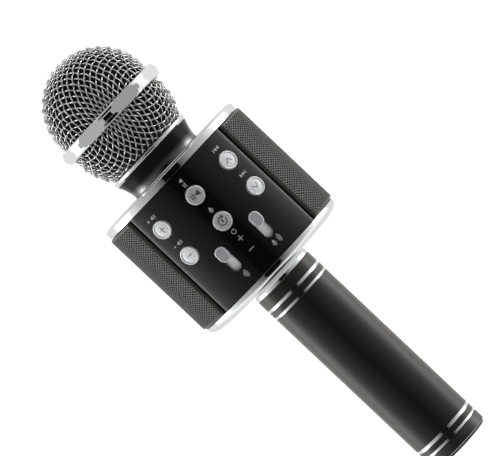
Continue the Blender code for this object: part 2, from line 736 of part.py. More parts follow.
def make_button(name, azimuth, height, board_face):
    """Origin on the button's axis, at the panel's surface. Local Z points outwards."""
    flange_bottom = BUTTON_FLANGE_TOP - BUTTON_FLANGE_THICKNESS
    end = stem_end(azimuth, board_face) - PANEL_RADIUS
    profile = [
        (0.0, BUTTON_HEIGHT - BUTTON_DISH_DEPTH),
        (BUTTON_DISH_RADIUS, BUTTON_HEIGHT - BUTTON_DISH_DEPTH),
        (BUTTON_LIP_RADIUS, BUTTON_HEIGHT),
        (BUTTON_RADIUS, BUTTON_HEIGHT - BUTTON_DISH_DEPTH / 2),
        (BUTTON_RADIUS, BUTTON_FLANGE_TOP),
        (BUTTON_FLANGE_RADIUS, BUTTON_FLANGE_TOP),
        (BUTTON_FLANGE_RADIUS, flange_bottom),
        (STEM_RADIUS, flange_bottom),
        (STEM_RADIUS, end),
        (0.0, end),
    ]
    turned(
        f"{name}_button", "button_chrome", profile, BUTTON_SIDES,
        on_drum(azimuth, PANEL_RADIUS, height), facing(azimuth))


def make_buttons():
    for name, (azimuth, height) in FRONT_BUTTONS.items():
        make_button(name, azimuth, height, MAIN_BOARD_FACE)
    for name, (azimuth, height) in REAR_BUTTONS.items():
        make_button(name, azimuth, height, REAR_BOARD_FACE)


def make_sliders():
    """A knob on a slide plate that hides the slot. It rests at the upper end of its slot."""
    knob_middle = SLOT_MIDDLE + SLIDE_TRAVEL / 2
    plate_half = (SLOT_LENGTH + SLIDE_TRAVEL + MM) / 2
    plate_top = SLIDE_PLATE_RADIUS - PANEL_RADIUS
    plate_bottom = plate_top - SLIDE_PLATE_THICKNESS
    lever_x, lever_y = LEVER_HALF_SIZES
    lever_end = MAIN_BOARD_FACE + POT_DEPTH + 1.5 * MM - PANEL_RADIUS
    for name, azimuth in SLIDERS.items():
        place = on_drum(azimuth, PANEL_RADIUS, knob_middle)
        turn = facing(azimuth)
        slider = block(
            f"{name}_slider", "slider_grey",
            (-SLIDE_PLATE_HALF_WIDTH, -plate_half, plate_bottom),
            (SLIDE_PLATE_HALF_WIDTH, plate_half, plate_top), place, turn)
        inside = (plate_top + plate_bottom) / 2
        stalk = extruded(
            f"{name}_stalk", None, stadium(STALK_WIDTH, STALK_LENGTH), inside, KNOB_BOTTOM + KNOB_OVERLAP,
            place, turn)
        knob = extruded(
            f"{name}_knob", None, stadium(KNOB_WIDTH, KNOB_LENGTH), KNOB_BOTTOM, KNOB_HEIGHT, place, turn)
        lever = block(
            f"{name}_lever", None, (-lever_x, -lever_y, lever_end), (lever_x, lever_y, inside), place, turn)
        join(slider, stalk, knob, lever)


# ---------------------------------------------------------------- neck and ball head

def flare(rise):
    """Radius of the shroud at a share of its height: a hollow curve that opens towards the top."""
    return SHROUD_BASE_RADIUS + (SHROUD_TOP_RADIUS - SHROUD_BASE_RADIUS) * rise ** SHROUD_FLARE_POWER


def make_neck_shroud():
    steps = 5
    profile = []
    for step in range(steps, -1, -1):
        rise = step / steps
        profile.append((flare(rise), SHROUD_FOOT + rise * (SHROUD_TOP - SHROUD_FOOT)))
    profile += [(SHROUD_BORE_RADIUS, SHROUD_FOOT), (SHROUD_BORE_RADIUS, SHROUD_NECK_TOP)]
    profile += [(THREAD_RADIUS, SHROUD_NECK_TOP), (THREAD_RADIUS, SHROUD_TOP)]
    shroud = turned("neck_shroud", "gloss_black", profile)
    seat = DRUM_TOP - PLATE_FLOOR - GAP
    hole_end = seat + SCREW_LENGTH + 2 * GAP
    cut(shroud, *screw_holes("neck_hole", NECK_SCREW_CIRCLE, SHROUD_FOOT - MM, hole_end))
    make_screws("neck_screw", NECK_SCREW_CIRCLE, seat, 1)


def make_neck_ring():
    low = SHROUD_TOP + GAP
    inner = THREAD_RADIUS + THREAD_CLEARANCE
    bevel = NECK_RING_BEVEL
    profile = [
        (NECK_RING_RADIUS, NECK_RING_TOP - bevel),
        (NECK_RING_RADIUS, low + bevel),
        (NECK_RING_RADIUS - bevel, low),
        (inner, low),
        (inner, SLEEVE_TOP),
        (SLEEVE_RADIUS, SLEEVE_TOP),
        (SLEEVE_RADIUS, NECK_RING_TOP),
        (NECK_RING_RADIUS - bevel, NECK_RING_TOP),
    ]
    turned("neck_ring", "chrome", profile)


def shell(name, slot, centre, low, high, radius, wall, steps, skirt=None):
    """A spherical wall between two heights, with an optional straight skirt below it."""
    outside = dome(radius, centre, low, high, steps)
    inside_high = min(high, centre + radius - wall)
    inside = dome(radius - wall, centre, low, inside_high, steps)
    if skirt is not None:
        outside.append((radius, skirt))
        inside.append((radius - wall, skirt))
    return turned(name, slot, outside + inside[::-1])


def make_ball_grilles():
    shell(
        "lower_grille", "mesh_wire", LOWER_CENTRE, NECK_RING_TOP + GAP, EQUATOR - GAP / 2,
        BALL_RADIUS, BALL_WALL, 7)
    shell(
        "upper_grille", "mesh_wire", UPPER_CENTRE, UPPER_CENTRE, UPPER_CENTRE + BALL_RADIUS,
        BALL_RADIUS, BALL_WALL, 7, EQUATOR + GAP / 2)


def octagon_profile_radius(height):
    """Outer radius of the turned blank: bulged, widest half way up."""
    share = height / (OCTAGON_HEIGHT / 2)
    return OCTAGON_EDGE_RADIUS + (OCTAGON_RADIUS - OCTAGON_EDGE_RADIUS) * (1 - share * share)


def make_octagon_ring():
    half = OCTAGON_HEIGHT / 2
    steps = 4
    outside = []
    for step in range(steps + 1):
        height = half - OCTAGON_HEIGHT * step / steps
        outside.append((octagon_profile_radius(height), EQUATOR + height))
    inner = BALL_RADIUS + GAP
    profile = outside + [(inner, EQUATOR - half), (inner, EQUATOR + half)]
    ring = turned("octagon_ring", "chrome", profile, 40)
    corner = OCTAGON_APOTHEM / cos(pi / 8)
    outline = []
    for number in range(8):
        turn = OCTAGON_TURN + number * pi / 4
        outline.append((corner * sin(turn), -corner * cos(turn)))
    flats = extruded("octagon_flats", None, outline, EQUATOR - OCTAGON_HEIGHT, EQUATOR + OCTAGON_HEIGHT)
    combine(ring, flats, "INTERSECT")


def make_foam():
    """A thick foam cap that lines the ball and is open at the bottom, around the neck ring's sleeve."""
    outer = FOAM_OUTER_RADIUS
    inner = outer - FOAM_WALL
    mouth = SLEEVE_RADIUS + THREAD_CLEARANCE
    outside = dome(outer, UPPER_CENTRE, UPPER_CENTRE, UPPER_CENTRE + outer, 5)
    outside += [(24.0 * MM, EQUATOR), (24.4 * MM, LOWER_CENTRE), (21.2 * MM, FOAM_BOTTOM)]
    inside = dome(inner, UPPER_CENTRE, UPPER_CENTRE, UPPER_CENTRE + inner, 5)
    inside += [(20.8 * MM, LOWER_CENTRE), (mouth, FOAM_BOTTOM)]
    turned("foam_windscreen", "foam", outside + inside[::-1], INNER_SIDES)


def make_capsule():
    flange_low = SHROUD_NECK_TOP + GAP
    holder = [
        (HOLDER_FLANGE_RADIUS, flange_low),
        (HOLDER_FLANGE_RADIUS, flange_low + 1.4 * MM),
        (HOLDER_RADIUS, flange_low + 2.4 * MM),
        (HOLDER_RADIUS, HOLDER_TOP),
        (HOLDER_BORE_RADIUS, HOLDER_TOP),
        (HOLDER_BORE_RADIUS, HOLDER_FLOOR),
        (HOLDER_PASSAGE_RADIUS, HOLDER_FLOOR),
        (HOLDER_PASSAGE_RADIUS, flange_low),
    ]
    turned("capsule_holder", "matte_black", holder, SMALL_SIDES)
    capsule = [
        (0.0, CAPSULE_TOP),
        (CAPSULE_RADIUS, CAPSULE_TOP),
        (CAPSULE_RADIUS, CAPSULE_BOTTOM),
        (0.0, CAPSULE_BOTTOM),
    ]
    turned("mic_capsule", "plain_steel", capsule, SMALL_SIDES)


# ---------------------------------------------------------------- whole microphone

def make_microphone():
    make_handle_tube()
    make_end_cap()
    make_handle_collar()
    make_handle_socket()
    make_battery()
    make_bottom_plate()
    make_top_plate()
    make_drum_frame()
    make_front_panel()
    make_rear_panel()
    make_grilles()
    make_speakers()
    make_boards()
    make_switches()
    make_potentiometers()
    make_rear_sockets()
    make_status_lens()
    make_buttons()
    make_sliders()
    make_neck_shroud()
    make_neck_ring()
    make_ball_grilles()
    make_octagon_ring()
    make_foam()
    make_capsule()


clear_scene()
MATERIALS.update(make_materials())
make_microphone()
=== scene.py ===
"""Looks of the karaoke microphone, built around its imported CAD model.

Metres, +Z up, and the front panel faces -Y. An azimuth is measured from the front, -Y, towards +X.
"""

import json
from math import acos, asin, atan2, cos, pi, radians, sin, sqrt, tan

import bmesh
import bpy
import numpy as np
from mathutils import Matrix, Quaternion, Vector


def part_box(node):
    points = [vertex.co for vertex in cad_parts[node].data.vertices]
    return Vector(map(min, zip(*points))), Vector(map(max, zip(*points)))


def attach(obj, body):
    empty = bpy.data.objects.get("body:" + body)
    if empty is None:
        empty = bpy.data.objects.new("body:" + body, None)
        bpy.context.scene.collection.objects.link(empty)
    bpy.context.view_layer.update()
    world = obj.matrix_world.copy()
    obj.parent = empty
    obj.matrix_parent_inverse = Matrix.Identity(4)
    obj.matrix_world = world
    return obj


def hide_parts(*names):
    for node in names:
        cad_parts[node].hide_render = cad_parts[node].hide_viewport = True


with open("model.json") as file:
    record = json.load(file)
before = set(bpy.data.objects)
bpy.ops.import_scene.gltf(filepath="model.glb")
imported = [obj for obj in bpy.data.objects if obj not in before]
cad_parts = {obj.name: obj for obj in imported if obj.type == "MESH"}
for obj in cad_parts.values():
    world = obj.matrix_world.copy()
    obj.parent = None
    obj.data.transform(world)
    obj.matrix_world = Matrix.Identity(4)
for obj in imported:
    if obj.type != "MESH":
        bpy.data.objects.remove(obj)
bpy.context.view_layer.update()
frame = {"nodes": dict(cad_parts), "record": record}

MM = 0.001


# ---------------------------------------------------------------- sizes, read from the frame

def low(node):
    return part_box(node)[0]


def high(node):
    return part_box(node)[1]


HANDLE_RADIUS = high("end_cap").x
TUBE_LOW = low("handle_tube").z
TUBE_HIGH = high("handle_tube").z
CAP_TOP = TUBE_LOW - 0.3 * MM
COLLAR_LOW = low("handle_collar").z
COLLAR_HIGH = high("handle_collar").z
PLATE_RADIUS = high("bottom_plate").x
BOTTOM_LOW = low("bottom_plate").z
BOTTOM_HIGH = high("bottom_plate").z
TOP_LOW = low("top_plate").z
TOP_HIGH = high("top_plate").z
PANEL_LOW = low("front_panel").z
PANEL_HIGH = high("front_panel").z
PANEL_RADIUS = PLATE_RADIUS
PANEL_THICKNESS = 1.6 * MM
PANEL_HALF_WIDTH = asin(high("front_panel").x / PANEL_RADIUS) * PANEL_RADIUS  # along the arc
GRILLE_RADIUS = high("right_grille").x
GRILLE_HALF_ANGLE = asin(high("right_grille").y / GRILLE_RADIUS)
NECK_LOW = low("neck_shroud").z
NECK_SHOULDER_RADIUS = high("neck_shroud").x
NECK_RING_LOW = low("neck_ring").z
NECK_RING_RADIUS = high("neck_ring").x
BALL_RADIUS = high("upper_grille").x
UPPER_CENTRE = high("upper_grille").z - BALL_RADIUS
LOWER_CENTRE = 207.0 * MM
LOWER_LOW = low("lower_grille").z
EQUATOR = (low("octagon_ring").z + high("octagon_ring").z) / 2
RING_HALF_HEIGHT = (high("octagon_ring").z - low("octagon_ring").z) / 2


# ---------------------------------------------------------------- shader nodes

def add_node(tree, kind, inputs=None, **settings):
    """Add a node. Each input named or numbered in inputs gets a value, or the socket that feeds it."""
    made = tree.nodes.new(kind)
    for key, value in settings.items():
        setattr(made, key, value)
    for key, value in (inputs or {}).items():
        if isinstance(value, bpy.types.NodeSocket):
            tree.links.new(value, made.inputs[key])
        else:
            made.inputs[key].default_value = value
    return made


def calculate(tree, operation, *values):
    return add_node(tree, "ShaderNodeMath", dict(enumerate(values)), operation=operation).outputs[0]


def map_range(tree, value, source, target, kind="SMOOTHSTEP"):
    """Map a value from one (first, last) range to another."""
    inputs = {"Value": value}
    inputs.update(zip(("From Min", "From Max", "To Min", "To Max"), (*source, *target)))
    return add_node(tree, "ShaderNodeMapRange", inputs, interpolation_type=kind).outputs["Result"]


def coordinates(tree, kind):
    """The three axes of one kind of texture coordinate."""
    place = add_node(tree, "ShaderNodeTexCoord")
    return add_node(tree, "ShaderNodeSeparateXYZ", {"Vector": place.outputs[kind]}).outputs


def object_noise(tree, scale, detail):
    place = add_node(tree, "ShaderNodeTexCoord")
    inputs = {"Vector": place.outputs["Object"], "Scale": scale, "Detail": detail}
    return add_node(tree, "ShaderNodeTexNoise", inputs).outputs["Fac"]


# ---------------------------------------------------------------- materials

NOISE_RANGE = (0.3, 0.7)  # where nearly all of the noise lies
COLOUR_STOPS = (0.35, 0.65)
STEEP_RANGE = (0.93, 0.985)  # upward part of a normal, from slanting to level faces
CHROME_NOISE = (260.0, 4.0)
CHROME_WEAR = (0.4, 1.2)  # shares of the polished roughness
# Distances from the panel's middle over which its painted side reflection fades in
PANEL_PAINTED_REFLECTION_RANGE = (15.0 * MM, 32.0 * MM)  # distance from the panel's middle


def principled(name, colour, roughness, metallic=0.0, **settings):
    material = bpy.data.materials.new(name)
    material.use_nodes = True
    material.diffuse_color = (*colour, 1.0)
    shader = material.node_tree.nodes["Principled BSDF"]
    shader.inputs["Base Color"].default_value = (*colour, 1.0)
    shader.inputs["Roughness"].default_value = roughness
    shader.inputs["Metallic"].default_value = metallic
    for key, value in settings.items():
        shader.inputs[key.replace("_", " ")].default_value = value
    return material


def drive(material, socket, source):
    """Feed one of the shader's inputs from another node."""
    tree = material.node_tree
    tree.links.new(source, tree.nodes["Principled BSDF"].inputs[socket])


def vary_roughness(material, scale, lowest, highest, detail=3.0):
    tree = material.node_tree
    noise = object_noise(tree, scale, detail)
    drive(material, "Roughness", map_range(tree, noise, NOISE_RANGE, (lowest, highest), "LINEAR"))


def vary_colour(material, scale, first, second, detail=3.0):
    tree = material.node_tree
    ramp = add_node(tree, "ShaderNodeValToRGB", {"Fac": object_noise(tree, scale, detail)})
    for element, position, colour in zip(ramp.color_ramp.elements, COLOUR_STOPS, (first, second)):
        element.position = position
        element.color = (*colour, 1.0)
    drive(material, "Base Color", ramp.outputs["Color"])


def grain(material, scale, height, strength, detail=2.0):
    tree = material.node_tree
    noise = object_noise(tree, scale, detail)
    bump = add_node(tree, "ShaderNodeBump", {"Height": noise, "Distance": height, "Strength": strength})
    drive(material, "Normal", bump.outputs["Normal"])


def satin_ends(material, polished, satin, metal):
    """Blur the reflections of the faces that look straight up or down, which are brushed and not polished."""
    tree = material.node_tree
    steep = calculate(tree, "ABSOLUTE", coordinates(tree, "Normal")["Z"])
    wear = [polished * share for share in CHROME_WEAR]
    worn = map_range(tree, object_noise(tree, *CHROME_NOISE), (0.0, 1.0), wear, "LINEAR")
    drive(material, "Roughness", map_range(tree, steep, STEEP_RANGE, (worn, satin)))
    drive(material, "Metallic", map_range(tree, steep, STEEP_RANGE, (1.0, metal)))


def brighter_foot(material, foot, above, strongest, weakest):
    """Let the reflections fade from the foot of a piece to a height above it."""
    tree = material.node_tree
    level = map_range(tree, coordinates(tree, "Object")["Z"], (foot, above), (strongest, weakest))
    drive(material, "Specular IOR Level", level)


def paint_side_reflection(material, middle, side):
    """Paint the acrylic lighter towards its cut side edges, a painted reflection of the bright light at the
    sides.
    """
    tree = material.node_tree
    across = calculate(tree, "ABSOLUTE", coordinates(tree, "Object")["X"])
    painted_reflection = map_range(tree, across, PANEL_PAINTED_REFLECTION_RANGE, (0.0, 1.0))
    inputs = {"Factor": painted_reflection, 6: (*middle, 1.0), 7: (*side, 1.0)}
    drive(material, "Base Color", add_node(tree, "ShaderNodeMix", inputs, data_type="RGBA").outputs[2])


def make_materials():
    """All materials by name. rough, tones and bumps are what vary_roughness, vary_colour and grain take."""
    made = {}

    def add(name, colour, roughness, metallic=0.0, rough=None, tones=None, bumps=None, **settings):
        made[name] = principled(name, colour, roughness, metallic, **settings)
        for vary, values in ((vary_roughness, rough), (vary_colour, tones), (grain, bumps)):
            if values:
                vary(made[name], *values)

    add("coated_aluminium", (0.0045, 0.0042, 0.0036), 0.34, rough=(900.0, 0.33, 0.40),
        bumps=(5200.0, 0.02 * MM, 0.25), IOR=1.43, Sheen_Weight=0.42, Sheen_Roughness=0.38,
        Sheen_Tint=(1.0, 0.95, 0.84, 1.0), Specular_Tint=(1.0, 0.97, 0.90, 1.0))
    add("cap_black", (0.011, 0.011, 0.012), 0.40, bumps=(4200.0, 0.02 * MM, 0.35),
        Coat_Weight=0.25, Coat_Roughness=0.25)
    add("bare_groove", (0.88, 0.88, 0.88), 0.12, 1.0, rough=(1500.0, 0.09, 0.16))
    add("bare_edge", (0.46, 0.45, 0.43), 0.38, 1.0, rough=(1500.0, 0.32, 0.44))
    add("foot_rubber", (0.004, 0.004, 0.004), 0.75, bumps=(3000.0, 0.03 * MM, 0.4), Specular_IOR_Level=0.15)

    add("chrome", (0.86, 0.87, 0.875), 0.05, 1.0)
    satin_ends(made["chrome"], 0.045, 0.42, 0.45)

    add("button_chrome", (0.74, 0.75, 0.76), 0.30, 0.6, rough=(700.0, 0.24, 0.36),
        bumps=(2600.0, 0.01 * MM, 0.2))
    add("button_mark", (0.30, 0.30, 0.31), 0.30, 0.9, rough=(900.0, 0.25, 0.36))

    add("gloss_black", (0.003, 0.003, 0.0034), 0.09, rough=(180.0, 0.06, 0.12, 5.0), IOR=1.39)
    # The gloss black is painted lighter towards the panel's sides: a painted reflection of the side light.
    paint_side_reflection(made["gloss_black"], (0.003, 0.003, 0.0034), (0.030, 0.030, 0.029))

    add("neck_black", (0.0022, 0.0026, 0.0036), 0.22, rough=(500.0, 0.20, 0.26),
        bumps=(3600.0, 0.01 * MM, 0.2), IOR=1.8)
    brighter_foot(made["neck_black"], NECK_LOW, NECK_LOW + 4.0 * MM, 1.0, 0.06)

    add("acrylic_edge", (0.16, 0.16, 0.16), 0.55, tones=(700.0, (0.14, 0.14, 0.14), (0.18, 0.18, 0.18)),
        IOR=1.35)
    add("matte_black", (0.014, 0.014, 0.014), 0.55, bumps=(3000.0, 0.03 * MM, 0.4))
    add("grille_steel", (0.050, 0.053, 0.044), 0.48, 0.4, rough=(900.0, 0.42, 0.52),
        tones=(1400.0, (0.044, 0.047, 0.038), (0.056, 0.059, 0.050)), bumps=(5200.0, 0.01 * MM, 0.3),
        Sheen_Weight=0.25, Sheen_Roughness=0.35)
    add("mesh_wire", (0.70, 0.70, 0.69), 0.30, 1.0, rough=(1300.0, 0.24, 0.36),
        tones=(500.0, (0.64, 0.64, 0.63), (0.76, 0.76, 0.75)))

    add("slider_grey", (0.35, 0.35, 0.365), 0.36, 0.35, rough=(1200.0, 0.30, 0.42),
        bumps=(5000.0, 0.01 * MM, 0.25))
    # The knob's shell is painted lighter than the grey pad set in its face: a painted highlight round the
    # knob's rim.
    add("knob_shell_painted_highlight", (0.60, 0.60, 0.62), 0.32, 0.5, rough=(1200.0, 0.26, 0.38),
        bumps=(5000.0, 0.01 * MM, 0.25))
    # The slot plate's colour is painted lighter than its own grey, to make up for the shade in its recess
    # behind the panel.
    add("slider_plate", (0.74, 0.74, 0.76), 0.40, 0.1, tones=(900.0, (0.70, 0.70, 0.72), (0.78, 0.78, 0.80)))
    add("print_white", (0.30, 0.30, 0.30), 0.55, tones=(3000.0, (0.26, 0.26, 0.26), (0.34, 0.34, 0.34)))
    add("foam", (0.006, 0.006, 0.006), 1.0, tones=(1300.0, (0.003, 0.003, 0.003), (0.012, 0.012, 0.012), 5.0),
        bumps=(1300.0, 0.4 * MM, 0.9, 5.0), Specular_IOR_Level=0.15)

    add("battery_wrap", (0.05, 0.16, 0.42), 0.35, rough=(300.0, 0.28, 0.42))
    add("board_green", (0.02, 0.14, 0.05), 0.45, tones=(350.0, (0.016, 0.12, 0.04), (0.024, 0.16, 0.06)))
    add("plain_steel", (0.55, 0.55, 0.55), 0.3, 1.0, rough=(800.0, 0.22, 0.40))
    add("speaker_paper", (0.03, 0.03, 0.03), 0.85, bumps=(2500.0, 0.05 * MM, 0.5))
    add("lens_clear", (0.72, 0.78, 0.84), 0.08, rough=(600.0, 0.05, 0.12), Transmission_Weight=0.6)
    return made


MATERIALS = make_materials()


# ---------------------------------------------------------------- mesh helpers

def add_mesh(name, verts, faces, material, sharp=30.0):
    mesh = bpy.data.meshes.new(name)
    mesh.from_pydata([tuple(v) for v in verts], [], [tuple(f) for f in faces])
    mesh.validate()
    if material:
        mesh.materials.append(MATERIALS[material])
    mesh.shade_smooth()
    if sharp:
        mesh.set_sharp_from_angle(angle=radians(sharp))
    made = bpy.data.objects.new(name, mesh)
    bpy.context.scene.collection.objects.link(made)
    return made


def finish_piece(piece, body, slot, *nodes):
    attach(piece, body)
    if nodes:
        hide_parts(*nodes)
    return piece


def baked(made, others=()):
    """Apply an object's modifiers to its mesh, and remove the tools they used."""
    graph = bpy.context.evaluated_depsgraph_get()
    mesh = bpy.data.meshes.new_from_object(made.evaluated_get(graph))
    made.modifiers.clear()
    made.data = mesh
    for other in others:
        bpy.data.objects.remove(other, do_unlink=True)
    return made


def face_outwards(made):
    bm = bmesh.new()
    bm.from_mesh(made.data)
    bmesh.ops.recalc_face_normals(bm, faces=bm.faces)
    bm.to_mesh(made.data)
    bm.free()
    return made


def fillet(points, radii, steps=5):
    """Round the corners of an open profile, by a radius in millimetres for each point, or 0."""
    result = []
    for index, (point, radius) in enumerate(zip(points, radii)):
        if radius == 0:
            result.append(point)
            continue
        radius *= MM
        here = Vector(point)
        back = (Vector(points[index - 1]) - here).normalized()
        ahead = (Vector(points[index + 1]) - here).normalized()
        half = acos(back.dot(ahead)) / 2
        centre = here + (back + ahead).normalized() * (radius / sin(half))
        reach = radius / tan(half)
        first = here + back * reach - centre
        last = here + ahead * reach - centre
        for step in range(steps + 1):
            spoke = first.lerp(last, step / steps).normalized() * radius
            result.append(tuple(centre + spoke))
    return result


ON_AXIS = 1e-9  # a radius under this is a single point
SIDES = 160


def lathe(name, profile, material, sides=SIDES, sharp=30.0):
    """Turn a profile of (radius, height) points, given down the outer side and up the inner side."""
    verts, faces, rings = [], [], []
    for radius, height in profile:
        first = len(verts)
        if radius < ON_AXIS:
            verts.append((0.0, 0.0, height))
            rings.append([first])
            continue
        for side in range(sides):
            turn = 2 * pi * side / sides
            verts.append((radius * sin(turn), -radius * cos(turn), height))
        rings.append(list(range(first, first + sides)))
    pairs = list(zip(rings, rings[1:]))
    if max(profile[0][0], profile[-1][0]) > ON_AXIS:
        pairs.append((rings[-1], rings[0]))
    for upper, lower in pairs:
        for side in range(sides):
            after = (side + 1) % sides
            corners = [upper[side % len(upper)], lower[side % len(lower)]]
            if len(lower) > 1:
                corners.append(lower[after])
            if len(upper) > 1:
                corners.append(upper[after])
            faces.append(corners)
    made = face_outwards(add_mesh(name, verts, faces, material, sharp))
    return even_normals(made) if sharp else made


def turned(name, profile, material, slot, *nodes, body="housing", sides=SIDES, sharp=30.0):
    """Turn a profile, and let it ride and stand for nodes."""
    return finish_piece(lathe(name, profile, material, sides, sharp), body, slot, *nodes)


def place_facing(made, azimuth, height):
    """Move a mesh to a place on the panel's surface, with its local Z outwards and its local Y up."""
    spot = Vector((PANEL_RADIUS * sin(azimuth), -PANEL_RADIUS * cos(azimuth), height))
    turn = Matrix.Rotation(azimuth, 4, "Z") @ Matrix.Rotation(pi / 2, 4, "X")
    made.data.transform(Matrix.Translation(spot) @ turn)
    return made


def wrap_on_drum(made, middle):
    """Bend a flat mesh, (arc length, height, depth), and its normals round the drum from a middle azimuth."""
    mesh = made.data
    turns = [middle + vertex.co.x / PANEL_RADIUS for vertex in mesh.vertices]
    normals = []
    for loop, corner in zip(mesh.loops, mesh.corner_normals):
        turn = turns[loop.vertex_index]
        across, up, out = corner.vector
        normals.append((across * cos(turn) + out * sin(turn), across * sin(turn) - out * cos(turn), up))
    for vertex, turn in zip(mesh.vertices, turns):
        reach = PANEL_RADIUS + vertex.co.z
        vertex.co = (reach * sin(turn), -reach * cos(turn), vertex.co.y)
    mesh.update()
    mesh.normals_split_custom_set(normals)
    return made


def stadium(width, length, steps=12):
    radius = width / 2
    straight = length / 2 - radius
    outline = []
    for middle, first in ((straight, 0.0), (-straight, pi)):
        for step in range(steps + 1):
            turn = first + pi * step / steps
            outline.append((radius * cos(turn), middle + radius * sin(turn)))
    return outline


def circle(radius, steps, centre=(0.0, 0.0)):
    turns = [2 * pi * n / steps for n in range(steps)]
    return [(centre[0] + radius * cos(turn), centre[1] + radius * sin(turn)) for turn in turns]


def skin(count, layers, base=0):
    """Faces that join layers of count vertices each and close both ends. base is the first vertex."""
    last = base + (layers - 1) * count
    faces = []
    for here in range(base, last, count):
        for n in range(count):
            after = (n + 1) % count
            faces.append([here + n, here + after, here + count + after, here + count + n])
    return faces + [list(range(base, base + count))[::-1], list(range(last, last + count))]


def prisms(name, outlines, bottom, top, material):
    """One mesh of closed prisms, one for each outline."""
    verts, faces = [], []
    for outline in outlines:
        faces += skin(len(outline), 2, len(verts))
        verts += [(x, y, z) for z in (bottom, top) for x, y in outline]
    return face_outwards(add_mesh(name, verts, faces, material))


def loft(name, layers, material, sharp):
    """Skin equal-length outlines, each (list of (x, y), height), and close both ends."""
    verts = [(x, y, height) for outline, height in layers for x, y in outline]
    faces = skin(len(layers[0][0]), len(layers))
    return face_outwards(add_mesh(name, verts, faces, material, sharp))


def boolean(made, other, operation):
    change = made.modifiers.new("cut", "BOOLEAN")
    change.operation = operation
    change.solver = "EXACT"
    change.object = other


def soften(made, width, segments=3, angle=35.0):
    change = made.modifiers.new("soften", "BEVEL")
    change.width = width
    change.segments = segments
    change.limit_method = "ANGLE"
    change.angle_limit = radians(angle)
    change.harden_normals = False


def even_normals(made):
    """Keep flat faces flat beside rounded edges, by weighting the normals by area."""
    change = made.modifiers.new("even", "WEIGHTED_NORMAL")
    change.keep_sharp = True
    return baked(made)


def smooth_again(made, sharp=30.0):
    made.data.shade_smooth()
    made.data.set_sharp_from_angle(angle=radians(sharp))
    return made


# ---------------------------------------------------------------- camera, light and floor

CAMERA_DISTANCE = 1.8
CAMERA_HEIGHT = 0.191
CAMERA_AZIMUTH = radians(0.4)
CAMERA_TARGET = Vector((0.0058, 0.0, 0.1339))
CAMERA_ROLL = radians(-46.66)
FRAME_WIDTH_AT_TARGET = 0.2217
SENSOR_WIDTH = 36.0
CLIP_START = 0.1
CLIP_END = 60.0


def make_camera():
    data = bpy.data.cameras.new("camera")
    camera = bpy.data.objects.new("camera", data)
    bpy.context.scene.collection.objects.link(camera)
    across, back = CAMERA_DISTANCE * sin(CAMERA_AZIMUTH), -CAMERA_DISTANCE * cos(CAMERA_AZIMUTH)
    camera.location = (across, back, CAMERA_HEIGHT)
    sight = CAMERA_TARGET - camera.location
    camera.rotation_mode = "QUATERNION"
    roll = Quaternion((0.0, 0.0, 1.0), CAMERA_ROLL)
    camera.rotation_quaternion = sight.to_track_quat("-Z", "Y") @ roll
    data.sensor_width = SENSOR_WIDTH
    data.lens = SENSOR_WIDTH * sight.length / FRAME_WIDTH_AT_TARGET
    data.clip_start = CLIP_START
    data.clip_end = CLIP_END
    bpy.context.scene.camera = camera


# Studio light by its horizontal angle from the front, in degrees. Level with the object there is a dark gap
# at the camera between two wide soft boxes. Above and below it the light is even.
GAP_LIGHT = (
    (0.0, 0.003), (13.8, 0.004), (15.2, 0.10), (21.0, 0.155), (29.0, 0.264), (37.0, 0.334), (45.0, 0.41),
    (54.0, 0.48), (62.0, 0.578), (71.0, 0.76), (81.0, 0.96), (91.0, 1.05), (103.0, 1.06), (118.0, 1.0),
    (132.0, 0.84), (158.0, 0.77), (180.0, 0.84))
OPEN_LIGHT = (
    (0.0, 0.54), (30.0, 0.55), (60.0, 0.62), (90.0, 0.92), (110.0, 0.94), (140.0, 0.80), (180.0, 0.86))
STRIP_LIGHT = ((0.0, 0.0), (81.0, 0.0), (95.0, 1.0), (104.0, 1.0), (124.0, 0.0), (180.0, 0.0))  # bright sides
BRIGHTEST = 1.25  # the ramps hold shares of this
# Heights on the unit sphere between which the light fades
GAP_BOTTOM = (-0.98, -0.90)
GAP_TOP = (0.35, 0.85)
STRIP_BOTTOM = (-0.22, 0.0)
STRIP_TOP = (0.45, 0.70)
ZENITH = (0.45, 0.95)
ZENITH_DIM = 0.5
STRIP_RADIANCE = 4.4
HALF_TURN = 180.0
TINY = 0.0001


def light_ramp(tree, stops, turn):
    """Light for an angle from the front, given as a share of a half turn."""
    ramp = add_node(tree, "ShaderNodeValToRGB", {"Fac": turn})
    elements = ramp.color_ramp.elements
    elements.remove(elements[1])
    for number, (degrees_round, light) in enumerate(stops):
        place = degrees_round / HALF_TURN
        element = elements[0] if number == 0 else elements.new(place)
        element.position = place
        element.color = (*[light / BRIGHTEST] * 3, 1.0)
    return ramp.outputs["Color"]


